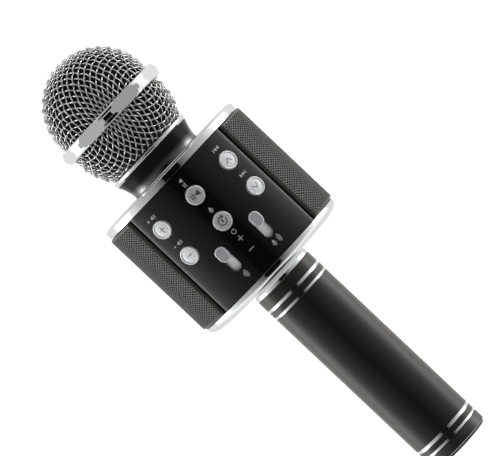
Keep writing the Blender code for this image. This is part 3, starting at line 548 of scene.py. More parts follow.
def make_world():
    world = bpy.data.worlds.new("studio")
    bpy.context.scene.world = world
    world.use_nodes = True
    tree = world.node_tree
    tree.nodes.clear()

    def background(colour, strength):
        return add_node(tree, "ShaderNodeBackground", {"Color": colour, "Strength": strength}).outputs[0]

    def band(height, bottom, top):
        """1 between two heights and 0 beyond them."""
        return calculate(tree, "MULTIPLY", map_range(tree, height, bottom, (0.0, 1.0)),
                         map_range(tree, height, top, (1.0, 0.0)))

    x, y, z = coordinates(tree, "Generated")
    squares = [calculate(tree, "MULTIPLY", axis, axis) for axis in (x, y)]
    level_part = calculate(tree, "SQRT", calculate(tree, "ADD", *squares))
    backness = calculate(tree, "DIVIDE", y, calculate(tree, "MAXIMUM", level_part, TINY))
    angle = calculate(tree, "ARCCOSINE", calculate(tree, "MULTIPLY", backness, -1.0))
    turn = calculate(tree, "DIVIDE", angle, pi)

    inputs = {"Factor": band(z, GAP_BOTTOM, GAP_TOP), 6: light_ramp(tree, OPEN_LIGHT, turn),
              7: light_ramp(tree, GAP_LIGHT, turn)}
    both = add_node(tree, "ShaderNodeMix", inputs, data_type="RGBA")
    studio = background(both.outputs[2], map_range(tree, z, ZENITH, (BRIGHTEST, BRIGHTEST * ZENITH_DIM)))
    strength = calculate(tree, "MULTIPLY", band(z, STRIP_BOTTOM, STRIP_TOP), BRIGHTEST * STRIP_RADIANCE)
    strips = background(light_ramp(tree, STRIP_LIGHT, turn), strength)
    light = add_node(tree, "ShaderNodeAddShader", {0: studio, 1: strips})
    seen = background((1.0, 1.0, 1.0, 1.0), 1.0)
    path = add_node(tree, "ShaderNodeLightPath")
    inputs = {"Fac": path.outputs["Is Camera Ray"], 1: light.outputs[0], 2: seen}
    mix = add_node(tree, "ShaderNodeMixShader", inputs)
    add_node(tree, "ShaderNodeOutputWorld", {"Surface": mix.outputs[0]})


TOP_BOX_RISE = radians(84.0)  # angle above the horizon, on the front's side
TOP_BOX_DISTANCE = 1.6
TOP_BOX_SIZE = 1.30
TOP_BOX_RADIANCE = 0.35


def make_top_box():
    data = bpy.data.lights.new("top_box", "AREA")
    data.shape = "SQUARE"
    data.size = TOP_BOX_SIZE
    data.energy = TOP_BOX_RADIANCE * pi * TOP_BOX_SIZE ** 2
    lamp = bpy.data.objects.new("top_box", data)
    out = Vector((0.0, -cos(TOP_BOX_RISE), sin(TOP_BOX_RISE)))
    lamp.location = Vector((0.0, 0.0, EQUATOR / 2)) + out * TOP_BOX_DISTANCE
    lamp.rotation_mode = "QUATERNION"
    lamp.rotation_quaternion = out.to_track_quat("Z", "Y")
    lamp.visible_camera = False
    bpy.context.scene.collection.objects.link(lamp)


FLOOR_HALF = 30.0
FLOOR_GLOW = 0.52


def make_floor():
    corners = [(x * FLOOR_HALF, y * FLOOR_HALF, 0.0) for x, y in ((-1, -1), (1, -1), (1, 1), (-1, 1))]
    floor = add_mesh("floor", corners, [(0, 1, 2, 3)], None)
    material = principled("floor_white", (0.95, 0.95, 0.95), 0.9, Emission_Color=(1.0, 1.0, 1.0, 1.0),
                          Emission_Strength=FLOOR_GLOW)
    floor.data.materials.append(material)
    floor.visible_glossy = False


# ---------------------------------------------------------------- handle

GROOVES = ((10.0 * MM, 11.5 * MM), (97.2 * MM, 98.3 * MM), (101.3 * MM, 102.7 * MM))  # bottom and top
LOWEST_GROOVE_TOP = 7.3 * MM
GROOVE_DEPTH = 0.3 * MM
TUBE_BORE = 14.0 * MM
HANDLE_SIDES = 192
TUBE_EDGE = 0.08 * MM
BAND_GAP = 0.02 * MM  # above and below the bare band in a groove
BAND_RISE = 0.12 * MM  # its edges, above the groove's floor
BAND_MIDDLE_RISE = 0.04 * MM
BAND_ROOT = 0.05 * MM


def make_handle():
    r, edge = HANDLE_RADIUS, TUBE_EDGE
    inset = r - GROOVE_DEPTH
    profile = [(TUBE_BORE, TUBE_HIGH), (r - edge, TUBE_HIGH), (r, TUBE_HIGH - edge)]
    for bottom, top in GROOVES[::-1]:
        profile += [(r, top + edge), (r - edge, top), (inset, top)]
        profile += [(inset, bottom), (r - edge, bottom), (r, bottom - edge)]
    top = LOWEST_GROOVE_TOP
    profile += [(r, top + edge), (r - edge, top), (inset, top), (inset, TUBE_LOW), (TUBE_BORE, TUBE_LOW)]
    coated = "coated_aluminium"
    turned("handle_tube_coated", profile, coated, coated, "handle_tube", sides=HANDLE_SIDES)

    bands = (*GROOVES, (CAP_TOP + 0.35 * MM, LOWEST_GROOVE_TOP))
    for number, (bottom, top) in enumerate(bands, 1):
        bottom, top = bottom + BAND_GAP, top - BAND_GAP
        root, outer, middle = inset - BAND_ROOT, inset + BAND_RISE, inset + BAND_MIDDLE_RISE
        outline = [
            (root, top), (outer, top), (middle, (top * 3 + bottom) / 4), (middle, (top + bottom * 3) / 4),
            (outer, bottom), (root, bottom)]
        turned(f"bare_groove_{number}", outline, "bare_groove", "bare_groove", sides=HANDLE_SIDES)


CAP_EDGE_LOW = 0.90 * MM
CAP_EDGE_HIGH = 1.25 * MM
SPIGOT_RADIUS = 13.6 * MM
SPIGOT_BORE = 11.6 * MM
SPIGOT_TOP = 14.0 * MM
CAP_FLOOR = 7.0 * MM


def make_end_cap():
    """A dark cap with a thin bare chamfer above a black foot."""
    r = HANDLE_RADIUS
    edge, step, root = 0.1 * MM, 0.5 * MM, 0.9 * MM
    outline = [
        (0.0, CAP_FLOOR), (SPIGOT_BORE, CAP_FLOOR), (SPIGOT_BORE, SPIGOT_TOP), (SPIGOT_RADIUS, SPIGOT_TOP),
        (SPIGOT_RADIUS, CAP_TOP), (r - edge, CAP_TOP), (r, CAP_TOP - edge), (r, CAP_EDGE_HIGH),
        (r - step, CAP_EDGE_HIGH), (r - step, CAP_EDGE_LOW), (0.0, CAP_EDGE_LOW)]
    turned("end_cap_moulded", outline, "cap_black", "coated_aluminium", "end_cap")
    outline = [
        (r - root, CAP_EDGE_HIGH), (r - 0.08 * MM, CAP_EDGE_HIGH), (r - 0.45 * MM, CAP_EDGE_LOW),
        (r - root, CAP_EDGE_LOW)]
    turned("end_cap_bare_edge", outline, "bare_edge", "bare_groove")
    outline = [(0.0, CAP_EDGE_LOW), (r - step, CAP_EDGE_LOW), (r - 1.3 * MM, 0.0), (0.0, 0.0)]
    turned("end_cap_foot", fillet(outline, (0, 0.1, 0.3, 0)), "foot_rubber", "matte_black")


COLLAR_BEVEL = 1.45 * MM
COLLAR_BORE = 13.9 * MM


def make_collar():
    r, top = HANDLE_RADIUS, COLLAR_HIGH
    outline = [
        (COLLAR_BORE, top), (r - COLLAR_BEVEL, top), (r, top - COLLAR_BEVEL), (r, COLLAR_LOW),
        (COLLAR_BORE, COLLAR_LOW)]
    profile = fillet(outline, (0, 0.6, 0.7, 0.3, 0), 7)
    turned("handle_collar_chrome", profile, "chrome", "chrome", "handle_collar")


# ---------------------------------------------------------------- drum plates

BOTTOM_SHOULDER = 115.7 * MM  # where the rim starts to round inwards
BOTTOM_ROUND = 7.1 * MM
BOTTOM_STEPS = 22
DRUM_SIDES = 240
PLATE_FLOOR = 2.2 * MM
PLATE_BORE = 38.5 * MM
BOTTOM_HOLE = 9.0 * MM
BOTTOM_FLOOR_RADIUS = 36.0 * MM
BOTTOM_WALL_FOOT = 115.6 * MM
BOTTOM_EDGE = 0.12 * MM
TOP_HOLE = 12.0 * MM
TOP_LEVEL_RADIUS = 32.0 * MM
TOP_SLOPE_RADIUS = 38.7 * MM
TOP_SLOPE_DROP = 0.2 * MM
TOP_SHOULDER = 178.15 * MM


def make_plates():
    r = PLATE_RADIUS
    floor_top = BOTTOM_LOW + PLATE_FLOOR
    outline = [
        (BOTTOM_HOLE, floor_top), (BOTTOM_FLOOR_RADIUS, floor_top), (PLATE_BORE, BOTTOM_WALL_FOOT),
        (PLATE_BORE, BOTTOM_HIGH), (r - BOTTOM_EDGE, BOTTOM_HIGH), (r, BOTTOM_HIGH - BOTTOM_EDGE)]
    drop = BOTTOM_SHOULDER - BOTTOM_LOW
    for step in range(BOTTOM_STEPS + 1):
        turn = pi / 2 * step / BOTTOM_STEPS
        outline.append((r - BOTTOM_ROUND * (1 - cos(turn)), BOTTOM_SHOULDER - drop * sin(turn)))
    outline.append((BOTTOM_HOLE, BOTTOM_LOW))
    turned("bottom_plate_chrome", outline, "chrome", "chrome", "bottom_plate", sides=DRUM_SIDES, sharp=20.0)

    roof_under = TOP_HIGH - PLATE_FLOOR
    outline = [
        (TOP_HOLE, TOP_HIGH), (TOP_LEVEL_RADIUS, TOP_HIGH), (TOP_SLOPE_RADIUS, TOP_HIGH - TOP_SLOPE_DROP),
        (r, TOP_SHOULDER), (r, TOP_LOW), (PLATE_BORE, TOP_LOW), (PLATE_BORE, roof_under),
        (TOP_HOLE, roof_under)]
    profile = fillet(outline, (0, 0, 1.2, 0.5, 0.12, 0, 0, 0), 8)
    turned("top_plate_chrome", profile, "chrome", "chrome", "top_plate", sides=DRUM_SIDES)


# ---------------------------------------------------------------- control panels

BUTTON_HOLE_RADIUS = 4.62 * MM
SLOT = (4.9 * MM, 13.8 * MM)
SLOT_MIDDLE = 132.7 * MM
SLOT_STEPS = 16
HOLE_STEPS = 64
PANEL_STRIP = 0.9 * MM  # width of the strips that are bent round the drum
EDGE_STRIP = 1.05 * MM  # the bare cut edge of the acrylic
EDGE_CHAMFER = 0.45 * MM
EDGE_BEVEL = 0.12 * MM
PANEL_BEVEL = 0.07 * MM
EDGE_GAP = 0.02 * MM  # between the gloss face and the cut edge
CUTTER_REACH = 4.0 * MM


def panel_edges(name, middle):
    """The two cut side edges of a panel, bent round the drum."""
    inner, outer = PANEL_HALF_WIDTH - EDGE_STRIP, PANEL_HALF_WIDTH
    section = [
        (inner, -PANEL_THICKNESS), (inner, 0.0), (outer - EDGE_CHAMFER, 0.0), (outer, -EDGE_CHAMFER),
        (outer, -PANEL_THICKNESS)]
    count = len(section)
    faces = [list(range(count)), list(range(count, 2 * count))]
    faces += [[n, (n + 1) % count, count + (n + 1) % count, count + n] for n in range(count)]
    for side, label in ((-1, "first"), (1, "second")):
        verts = [(side * x, y, z) for y in (PANEL_LOW, PANEL_HIGH) for x, z in section]
        strip = face_outwards(add_mesh(f"{name}_{label}_edge", verts, faces, "acrylic_edge"))
        soften(strip, EDGE_BEVEL, 3, 30.0)
        baked(strip)
        smooth_again(strip, 35.0)
        even_normals(strip)
        wrap_on_drum(strip, middle)
        finish_piece(strip, "housing", "lens_clear")


def flat_panel(name, half_width):
    """A flat slab built of upright strips, to be cut and then bent round the drum."""
    count = int(2 * half_width / PANEL_STRIP)
    front, back = 0.0, -PANEL_THICKNESS
    section = [(PANEL_LOW, front), (PANEL_HIGH, front), (PANEL_HIGH, back), (PANEL_LOW, back)]
    verts = [(-half_width + 2 * half_width * n / count, y, z) for n in range(count + 1) for y, z in section]
    faces = skin(len(section), count + 1)
    return face_outwards(add_mesh(name, verts, faces, "gloss_black", None))


def cut_panel(name, middle, openings, node):
    panel = flat_panel(name, PANEL_HALF_WIDTH - EDGE_STRIP - EDGE_GAP)
    cutters = []
    for number, (outline, across, height) in enumerate(openings):
        placed = moved(outline, across, height)
        cutter = prisms(f"{name}_cutter_{number}", [placed], -CUTTER_REACH, CUTTER_REACH, None)
        boolean(panel, cutter, "DIFFERENCE")
        cutters.append(cutter)
    soften(panel, PANEL_BEVEL, 2, 40.0)
    baked(panel, cutters)
    smooth_again(panel, 35.0)
    even_normals(panel)
    wrap_on_drum(panel, middle)
    panel_edges(name, middle)
    return finish_piece(panel, "housing", "gloss_black", node)


def node_spot(node):
    """Azimuth from the front and height of a node's middle."""
    lowest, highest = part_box(node)
    middle = (lowest + highest) / 2
    return atan2(middle.x, -middle.y), middle.z


FRONT_BUTTONS = ("volume_up", "volume_down", "play", "replay", "previous", "next")
REAR_BUTTONS = ("power", "mode")
SLIDERS = ("echo", "volume")


def lying(outline):
    return [(y, x) for x, y in outline][::-1]


def make_front_panel():
    openings = []
    for name in FRONT_BUTTONS:
        azimuth, height = node_spot(f"{name}_button")
        openings.append((circle(BUTTON_HOLE_RADIUS, HOLE_STEPS), azimuth * PANEL_RADIUS, height))
    for name in SLIDERS:
        azimuth, _ = node_spot(f"{name}_slider")
        openings.append((stadium(*SLOT, SLOT_STEPS), azimuth * PANEL_RADIUS, SLOT_MIDDLE))
    cut_panel("front_panel_gloss", 0.0, openings, "front_panel")


CHARGE_ROW = 136.0 * MM
CHARGE_OPENING = (3.4 * MM, 8.6 * MM)
HEADPHONE_ROW = 125.5 * MM
HEADPHONE_RADIUS = 2.7 * MM
CARD_ROW = 147.0 * MM
CARD_OPENING = (1.6 * MM, 12.4 * MM)
LENS_HOLE_RADIUS = 1.3 * MM


def make_rear_panel():
    openings = []
    for name in REAR_BUTTONS:
        azimuth, height = node_spot(f"{name}_button")
        across = (azimuth - pi if azimuth > 0 else azimuth + pi) * PANEL_RADIUS
        openings.append((circle(BUTTON_HOLE_RADIUS, HOLE_STEPS), across, height))
    openings.append((lying(stadium(*CHARGE_OPENING)), 0.0, CHARGE_ROW))
    openings.append((circle(HEADPHONE_RADIUS, 40), 0.0, HEADPHONE_ROW))
    openings.append((lying(stadium(*CARD_OPENING)), 0.0, CARD_ROW))
    openings.append((circle(LENS_HOLE_RADIUS, 32), 0.0, node_spot("status_lens")[1]))
    cut_panel("rear_panel_gloss", pi, openings, "rear_panel")


# ---------------------------------------------------------------- perforated side grilles

HOLE_PITCH = 1.41 * MM
HOLE_RADIUS = 0.55 * MM
COLUMN_WIDTH = 1.28 * MM
SHEET = 0.45 * MM
GRILLE_EDGE = 1.15 * MM  # radius of the rounded edge
GRILLE_BORDER = 0.5 * MM  # least width of metal without holes at the edge
BORDER_STEPS = 3
SAME_PLACE = 1e-7


def perforated_sheet(width, height):
    """Vertices, as (across, up), and faces of a flat sheet. Each hole has a cell, in staggered columns."""
    columns = int((width - 2 * GRILLE_BORDER) / COLUMN_WIDTH)
    rows = int((height - 2 * GRILLE_BORDER) / HOLE_PITCH) - 1
    left = -columns * COLUMN_WIDTH / 2
    bottom = -(rows + 0.5) * HOLE_PITCH / 2
    index = {}
    verts = []

    def vertex(x, y):
        key = (round(x / SAME_PLACE), round(y / SAME_PLACE))
        if key not in index:
            index[key] = len(verts)
            verts.append((x, y))
        return index[key]

    faces = []
    for column in range(columns):
        x0 = left + column * COLUMN_WIDTH
        xm, x1 = x0 + COLUMN_WIDTH / 2, x0 + COLUMN_WIDTH
        shift = 0.5 * HOLE_PITCH * (column % 2)
        for row in range(rows):
            y0 = bottom + shift + row * HOLE_PITCH
            ym, y1 = y0 + HOLE_PITCH / 2, y0 + HOLE_PITCH
            rim = [(x1, ym), (x1, y1), (xm, y1), (x0, y1), (x0, ym), (x0, y0), (xm, y0), (x1, y0)]
            outer = [vertex(*spot) for spot in rim]
            inner = [vertex(*spot) for spot in circle(HOLE_RADIUS, len(rim), (xm, ym))]
            for n in range(len(rim)):
                after = (n + 1) % len(rim)
                faces.append((outer[n], outer[after], inner[after], inner[n]))
        y0 = bottom if shift else bottom + rows * HOLE_PITCH
        y1 = y0 + 0.5 * HOLE_PITCH
        faces.append((vertex(x0, y0), vertex(xm, y0), vertex(xm, y1), vertex(x0, y1)))
        faces.append((vertex(xm, y0), vertex(x1, y0), vertex(x1, y1), vertex(xm, y1)))

    xs = [left + n * COLUMN_WIDTH / 2 for n in range(2 * columns + 1)]
    ys = [bottom + n * HOLE_PITCH / 2 for n in range(2 * rows + 2)]

    def steps(first, last):
        return [first + (last - first) * n / BORDER_STEPS for n in range(BORDER_STEPS + 1)]

    def patch(across, up):
        for x0, x1 in zip(across, across[1:]):
            for y0, y1 in zip(up, up[1:]):
                faces.append((vertex(x0, y0), vertex(x1, y0), vertex(x1, y1), vertex(x0, y1)))

    low_steps, high_steps = steps(-height / 2, bottom), steps(ys[-1], height / 2)
    patch(xs, low_steps)
    patch(xs, high_steps)
    patch(steps(-width / 2, left), low_steps + ys[1:] + high_steps[1:])
    patch(steps(xs[-1], width / 2), low_steps + ys[1:] + high_steps[1:])
    return verts, faces


def edge_drop(distance):
    """How far the sheet has curved in at a distance from its edge."""
    if distance >= GRILLE_EDGE:
        return 0.0
    reach = GRILLE_EDGE - max(distance, 0.0)
    return GRILLE_EDGE - sqrt(max(GRILLE_EDGE ** 2 - reach ** 2, 0.0))


def make_grille(side, middle):
    width = 2 * GRILLE_HALF_ANGLE * GRILLE_RADIUS
    height = PANEL_HIGH - PANEL_LOW
    flat, faces = perforated_sheet(width, height)
    centre = (PANEL_HIGH + PANEL_LOW) / 2
    count = len(flat)
    verts = []
    for depth in (0.0, SHEET):
        for x, y in flat:
            drop = max(edge_drop(width / 2 - abs(x)), edge_drop(height / 2 - abs(y)))
            radius = GRILLE_RADIUS - drop - depth
            turn = middle + x / GRILLE_RADIUS
            verts.append((radius * sin(turn), -radius * cos(turn), centre + y))
    edges = {edge: True for face in faces for edge in zip(face, face[1:] + face[:1])}
    all_faces = faces + [tuple(count + corner for corner in face[::-1]) for face in faces]
    for first, second in edges:
        if (second, first) not in edges:
            all_faces.append((second, first, count + first, count + second))
    grille = add_mesh(f"{side}_grille_perforated", verts, all_faces, "grille_steel", 40.0)
    face_outwards(grille)
    finish_piece(grille, "housing", "grille_steel", f"{side}_grille")


# ---------------------------------------------------------------- neck

NECK_BASE_RADIUS = 19.0 * MM
NECK_SHOULDER = 188.5 * MM
NECK_TOP = 193.0 * MM
NECK_BORE = 14.2 * MM
NECK_SPIGOT_RADIUS = 17.0 * MM
NECK_CURVE = 1.8  # power of the height that the radius grows with
NECK_STEPS = 24
NECK_SIDES = 200
TOE_FLARE = 0.22 * MM  # how far the shroud's foot turns out
TOE_SHARE = 0.3
GASKET_WIDTH = 1.0 * MM
GASKET_RISE = 0.05 * MM
RING_BORE = 17.5 * MM
RING_TOP = 190.7 * MM
SLEEVE_RADIUS = 19.0 * MM
SLEEVE_TOP = 194.0 * MM


def make_neck():
    base, top, foot = NECK_BASE_RADIUS, NECK_SHOULDER_RADIUS, NECK_LOW
    flare = []
    for step in range(1, NECK_STEPS + 1):
        rise = 1 - step / NECK_STEPS
        toe = TOE_FLARE * max(0.0, 1 - rise / TOE_SHARE) ** 2
        flare.append((base + (top - base) * rise ** NECK_CURVE + toe, foot + rise * (NECK_SHOULDER - foot)))
    outline = [
        (NECK_BORE, NECK_TOP), (NECK_SPIGOT_RADIUS, NECK_TOP), (NECK_SPIGOT_RADIUS, NECK_SHOULDER),
        (top - 0.3 * MM, NECK_SHOULDER), (top - 0.08 * MM, NECK_SHOULDER - 0.06 * MM), *flare,
        (NECK_BORE, foot)]
    turned("neck_shroud_gloss", outline, "neck_black", "gloss_black", "neck_shroud", sides=NECK_SIDES)
    inner, outer = base - GASKET_WIDTH, base + GASKET_RISE
    outline = [(inner, foot), (outer, foot), (outer, TOP_HIGH), (inner, TOP_HIGH)]
    turned("neck_gasket", outline, "matte_black", "matte_black")

    bore, r = RING_BORE, NECK_RING_RADIUS
    outline = [(bore, RING_TOP), (r, RING_TOP), (r, NECK_RING_LOW), (bore, NECK_RING_LOW)]
    profile = fillet(outline, (0, 0.85, 0.85, 0), 9)
    turned("neck_ring_chrome", profile, "chrome", "chrome", "neck_ring", body="head_thread", sides=NECK_SIDES)
    outline = [(bore, SLEEVE_TOP), (SLEEVE_RADIUS, SLEEVE_TOP), (SLEEVE_RADIUS, RING_TOP), (bore, RING_TOP)]
    profile = fillet(outline, (0, 0.3, 0, 0), 4)
    turned("neck_ring_sleeve", profile, "matte_black", "matte_black", body="head_thread")


# ---------------------------------------------------------------- ball head

OCTAGON_APOTHEM = 27.7 * MM
OCTAGON_TURN = radians(-2.5)
OCTAGON_BORE = 26.6 * MM
OCTAGON_SIDES = 320
FLATS_REACH = 6.0 * MM
# Half of the ring's outer profile, radius and height above its middle in millimetres: a raised band, a bevel
OCTAGON_PROFILE = (
    (29.12, 0.0), (29.11, 0.4), (29.09, 0.75), (29.03, 1.0), (28.93, 1.14), (28.78, 1.22), (28.66, 1.29),
    (28.62, 1.4), (28.58, 1.8), (28.50, 2.2), (28.36, 2.5), (28.12, 2.76), (27.85, 2.95), (27.5, 3.07),
    (27.1, 3.1))


def make_octagon_ring():
    half = [(radius * MM, height * MM) for radius, height in OCTAGON_PROFILE]
    outline = [(OCTAGON_BORE, EQUATOR - RING_HALF_HEIGHT), (OCTAGON_BORE, EQUATOR + RING_HALF_HEIGHT)]
    outline += [(radius, EQUATOR + height) for radius, height in half[::-1]]
    outline += [(radius, EQUATOR - height) for radius, height in half[1:]]
    ring = lathe("octagon_ring_chrome", outline, "chrome", OCTAGON_SIDES, None)
    corner = OCTAGON_APOTHEM / cos(pi / 8)
    outline = [
        (corner * sin(OCTAGON_TURN + n * pi / 4), -corner * cos(OCTAGON_TURN + n * pi / 4)) for n in range(8)]
    flats = prisms("octagon_flats", [outline], EQUATOR - FLATS_REACH, EQUATOR + FLATS_REACH, None)
    boolean(ring, flats, "INTERSECT")
    baked(ring, [flats])
    smooth_again(ring, 12.0)
    even_normals(ring)
    finish_piece(ring, "ball_head", "chrome", "octagon_ring")


WIRE_RADIUS = 0.32 * MM
WIRE_PITCH = 2.95 * MM
WIRE_STEPS = 6  # points between two crossings
NET_ROUNDS = 8  # of Newton's method, for each diagonal of the net
NUDGE = 1e-12
SINGULAR = 1e-14
WIRE_SIDES = 8
WIRE_CRIMP = 0.40 * MM  # how far the wires swing in and out
NET_RADIUS = BALL_RADIUS - WIRE_RADIUS - WIRE_CRIMP
NET_TURN = radians(45.0)
NET_END = 0.2 * MM  # from the ring's middle to the nearest wires


def net_quadrant(radius, reach, step):
    """A quarter of a square net laid over a dome from its pole, as an array of points.

    Every side of every cell keeps its length, so the cells lean over where the dome needs it. The dome is a
    hemisphere with a straight skirt below it.
    """
    count = int(reach / step) + 2
    points = np.full((count, count, 3), np.nan)
    quarter = radius * pi / 2
    for n in range(count):
        length = n * step
        if length < quarter:
            across, up = radius * sin(length / radius), radius * cos(length / radius)
        else:
            across, up = radius, quarter - length
        points[n, 0] = (across, 0.0, up)
        points[0, n] = (0.0, across, up)
    for total in range(2, 2 * count - 1):
        i = np.arange(max(1, total - count + 1), min(count - 1, total - 1) + 1)
        j = total - i
        left, right, corner = points[i - 1, j], points[i, j - 1], points[i - 1, j - 1]
        guess = left + right - corner
        for _ in range(NET_ROUNDS):
            on_dome = guess[:, 2:3] >= 0.0
            slope = np.where(on_dome, guess, guess * np.array([1.0, 1.0, 0.0]))
            errors = np.stack([
                ((guess - left) ** 2).sum(1) - step ** 2,
                ((guess - right) ** 2).sum(1) - step ** 2,
                (slope ** 2).sum(1) - radius ** 2], 1)
            rows = 2 * np.stack([guess - left, guess - right, slope], 1)
            rows = rows + np.eye(3)[None] * NUDGE
            solid = np.abs(np.linalg.det(np.nan_to_num(rows))) > SINGULAR
            good = np.isfinite(rows).all((1, 2)) & solid
            change = np.full_like(guess, np.nan)
            if good.any():
                change[good] = np.linalg.solve(rows[good], errors[good][:, :, None])[:, :, 0]
            guess = guess - change
        wild = ~np.isfinite(guess).all(1) | (np.abs(guess[:, 2]) > 2 * radius)
        guess[wild] = np.nan
        points[i, j] = guess
    return points


def wire_paths(points, radius, lowest, highest):
    """Crimped centre lines of both sets of wires, cut to a band of heights."""
    steps = WIRE_STEPS
    count = points.shape[0]
    last = (count - 1) // steps
    paths = []
    for swap in (False, True):
        grid = points.transpose(1, 0, 2) if swap else points
        for wire in range(-last, last + 1):
            row = grid[:, abs(wire) * steps]
            far = np.concatenate([row[:0:-1], row])
            index = np.concatenate([-np.arange(count)[:0:-1], np.arange(count)])
            line = far.copy()
            along, aside = (1, 0) if swap else (0, 1)
            line[:, along] *= np.where(index < 0, -1.0, 1.0)
            line[:, aside] *= -1.0 if wire < 0 else 1.0
            out = line / radius
            out[:, 2] = np.where(line[:, 2] > 0, out[:, 2], 0.0)
            wave = np.cos(pi * index / steps + pi * wire) * (-1.0 if swap else 1.0)
            line = line + out * (wave * WIRE_CRIMP)[:, None]
            keep = np.isfinite(line).all(1) & (line[:, 2] >= lowest) & (line[:, 2] <= highest)
            start = None
            for n in range(len(keep) + 1):
                inside = n < len(keep) and keep[n]
                if inside and start is None:
                    start = n
                if not inside and start is not None:
                    if n - start > 2:
                        paths.append((line[start:n], out[start:n]))
                    start = None
    return paths


def tube_mesh(paths, radius, sides):
    """Closed round tubes along paths of (points, outward directions)."""
    verts, faces = [], []
    turns = 2 * pi * np.arange(sides) / sides
    for line, out in paths:
        base = len(verts)
        ahead = np.gradient(line, axis=0)
        ahead /= np.linalg.norm(ahead, axis=1)[:, None]
        side = np.cross(ahead, out)
        side /= np.linalg.norm(side, axis=1)[:, None]
        up = np.cross(side, ahead)
        spokes = np.cos(turns)[None, :, None] * up[:, None] + np.sin(turns)[None, :, None] * side[:, None]
        ring = line[:, None] + radius * spokes
        verts += ring.reshape(-1, 3).tolist()
        for n in range(len(line) - 1):
            here, there = base + n * sides, base + (n + 1) * sides
            for k in range(sides):
                after = (k + 1) % sides
                faces.append((here + k, there + k, there + after, here + after))
        faces.append(tuple(base + k for k in range(sides)))
        end = base + (len(line) - 1) * sides
        faces.append(tuple(end + k for k in reversed(range(sides))))
    return verts, faces


def woven_grille(half, net, centre, upwards, lowest, highest):
    """Half of the ball's wires: the net between two distances from its centre along the axis."""
    verts, faces = tube_mesh(wire_paths(net, NET_RADIUS, lowest, highest), WIRE_RADIUS, WIRE_SIDES)
    turn = Matrix.Rotation(NET_TURN, 3, "Z")
    flip = 1.0 if upwards else -1.0
    placed = []
    for vertex in verts:
        spot = turn @ Vector(vertex)
        placed.append((spot.x, spot.y, centre + flip * spot.z))
    if not upwards:
        faces = [face[::-1] for face in faces]
    grille = add_mesh(f"{half}_grille_wires", placed, faces, "mesh_wire", None)
    finish_piece(grille, "ball_head", "mesh_wire", f"{half}_grille")


def make_ball():
    skirt = UPPER_CENTRE - EQUATOR
    reach = NET_RADIUS * pi / 2 + skirt + 2 * WIRE_PITCH
    net = net_quadrant(NET_RADIUS, reach, WIRE_PITCH / WIRE_STEPS)
    lowest = EQUATOR + NET_END - UPPER_CENTRE
    woven_grille("upper", net, UPPER_CENTRE, True, lowest, BALL_RADIUS)
    lowest = LOWER_CENTRE - EQUATOR + NET_END
    woven_grille("lower", net, LOWER_CENTRE, False, lowest, LOWER_CENTRE - LOWER_LOW)


FOAM_OUTER = 24.6 * MM
FOAM_INNER = 21.2 * MM
FOAM_LOW = 194.3 * MM
FOAM_STEPS = 28
FOAM_SIDES = 128


def make_foam():
    def arc(radius):
        turns = [pi / 2 * n / FOAM_STEPS for n in range(FOAM_STEPS + 1)]
        return [(radius * sin(turn), UPPER_CENTRE + radius * cos(turn)) for turn in turns]

    outline = arc(FOAM_OUTER) + [
        (24.3 * MM, 215.0 * MM), (24.0 * MM, EQUATOR), (24.1 * MM, 210.0 * MM), (24.3 * MM, LOWER_CENTRE),
        (23.9 * MM, 202.5 * MM), (22.9 * MM, 198.5 * MM), (21.5 * MM, FOAM_LOW + 0.3 * MM),
        (21.2 * MM, FOAM_LOW)]
    inside = arc(FOAM_INNER) + [(20.8 * MM, LOWER_CENTRE), (19.6 * MM, 197.5 * MM), (19.4 * MM, FOAM_LOW)]
    foam = lathe("foam_windscreen_shell", outline + inside[::-1], "foam", FOAM_SIDES, None)
    finish_piece(foam, "ball_head", "foam", "foam_windscreen")


# ---------------------------------------------------------------- buttons

# The button's section, in millimetres from the panel's surface
BUTTON_RADIUS = 4.26
BUTTON_RIM = 1.0
FLANGE_RADIUS = 5.0
FLANGE_TOP = -2.3
FLANGE_LOW = -3.1


def button_profile():
    """Local Z points out of the panel, whose surface is at 0. The face is a low dome inside a raised rim."""
    dome = [(0.0, 0.76), (1.1, 0.745), (2.0, 0.695), (2.8, 0.61), (3.3, 0.53)]
    rim = [(3.58, 0.50), (3.76, BUTTON_RIM), (BUTTON_RADIUS, BUTTON_RIM), (BUTTON_RADIUS, FLANGE_TOP)]
    flange = [(FLANGE_RADIUS, FLANGE_TOP), (FLANGE_RADIUS, FLANGE_LOW), (0.0, FLANGE_LOW)]
    radii = (0, 0, 0, 0, 0, 0.08, 0.12, 0.3, 0, 0.1, 0.1, 0)
    return fillet([(radius * MM, height * MM) for radius, height in dome + rim + flange], radii)


def bar(x0, y0, x1, y1, width):
    """Outline of a straight stroke with square ends."""
    along = Vector((x1 - x0, y1 - y0)).normalized()
    side = Vector((-along.y, along.x)) * width / 2
    ends = ((x0, y0, -1), (x1, y1, -1), (x1, y1, 1), (x0, y0, 1))
    return [(x + way * side.x, y + way * side.y) for x, y, way in ends]


def ribbon(points, width):
    """Outline of a bent stroke: down one side and back up the other."""
    left, right = [], []
    for n, point in enumerate(points):
        before = Vector(points[max(n - 1, 0)])
        after = Vector(points[min(n + 1, len(points) - 1)])
        along = (after - before).normalized()
        side = Vector((-along.y, along.x)) * width / 2
        here = Vector(point)
        left.append(tuple(here + side))
        right.append(tuple(here - side))
    return left + right[::-1]


def arc_points(radius, first, last, steps=14, centre=(0.0, 0.0)):
    turns = [radians(first + (last - first) * n / steps) for n in range(steps + 1)]
    return [(centre[0] + radius * cos(turn), centre[1] + radius * sin(turn)) for turn in turns]


def plus(size, width):
    """A plus as one outline."""
    reach, half = size / 2, width / 2
    arm = [(half, half), (half, reach), (-half, reach)]
    outline = []
    for _ in range(4):
        outline += arm
        arm = [(-y, x) for x, y in arm]
    return outline


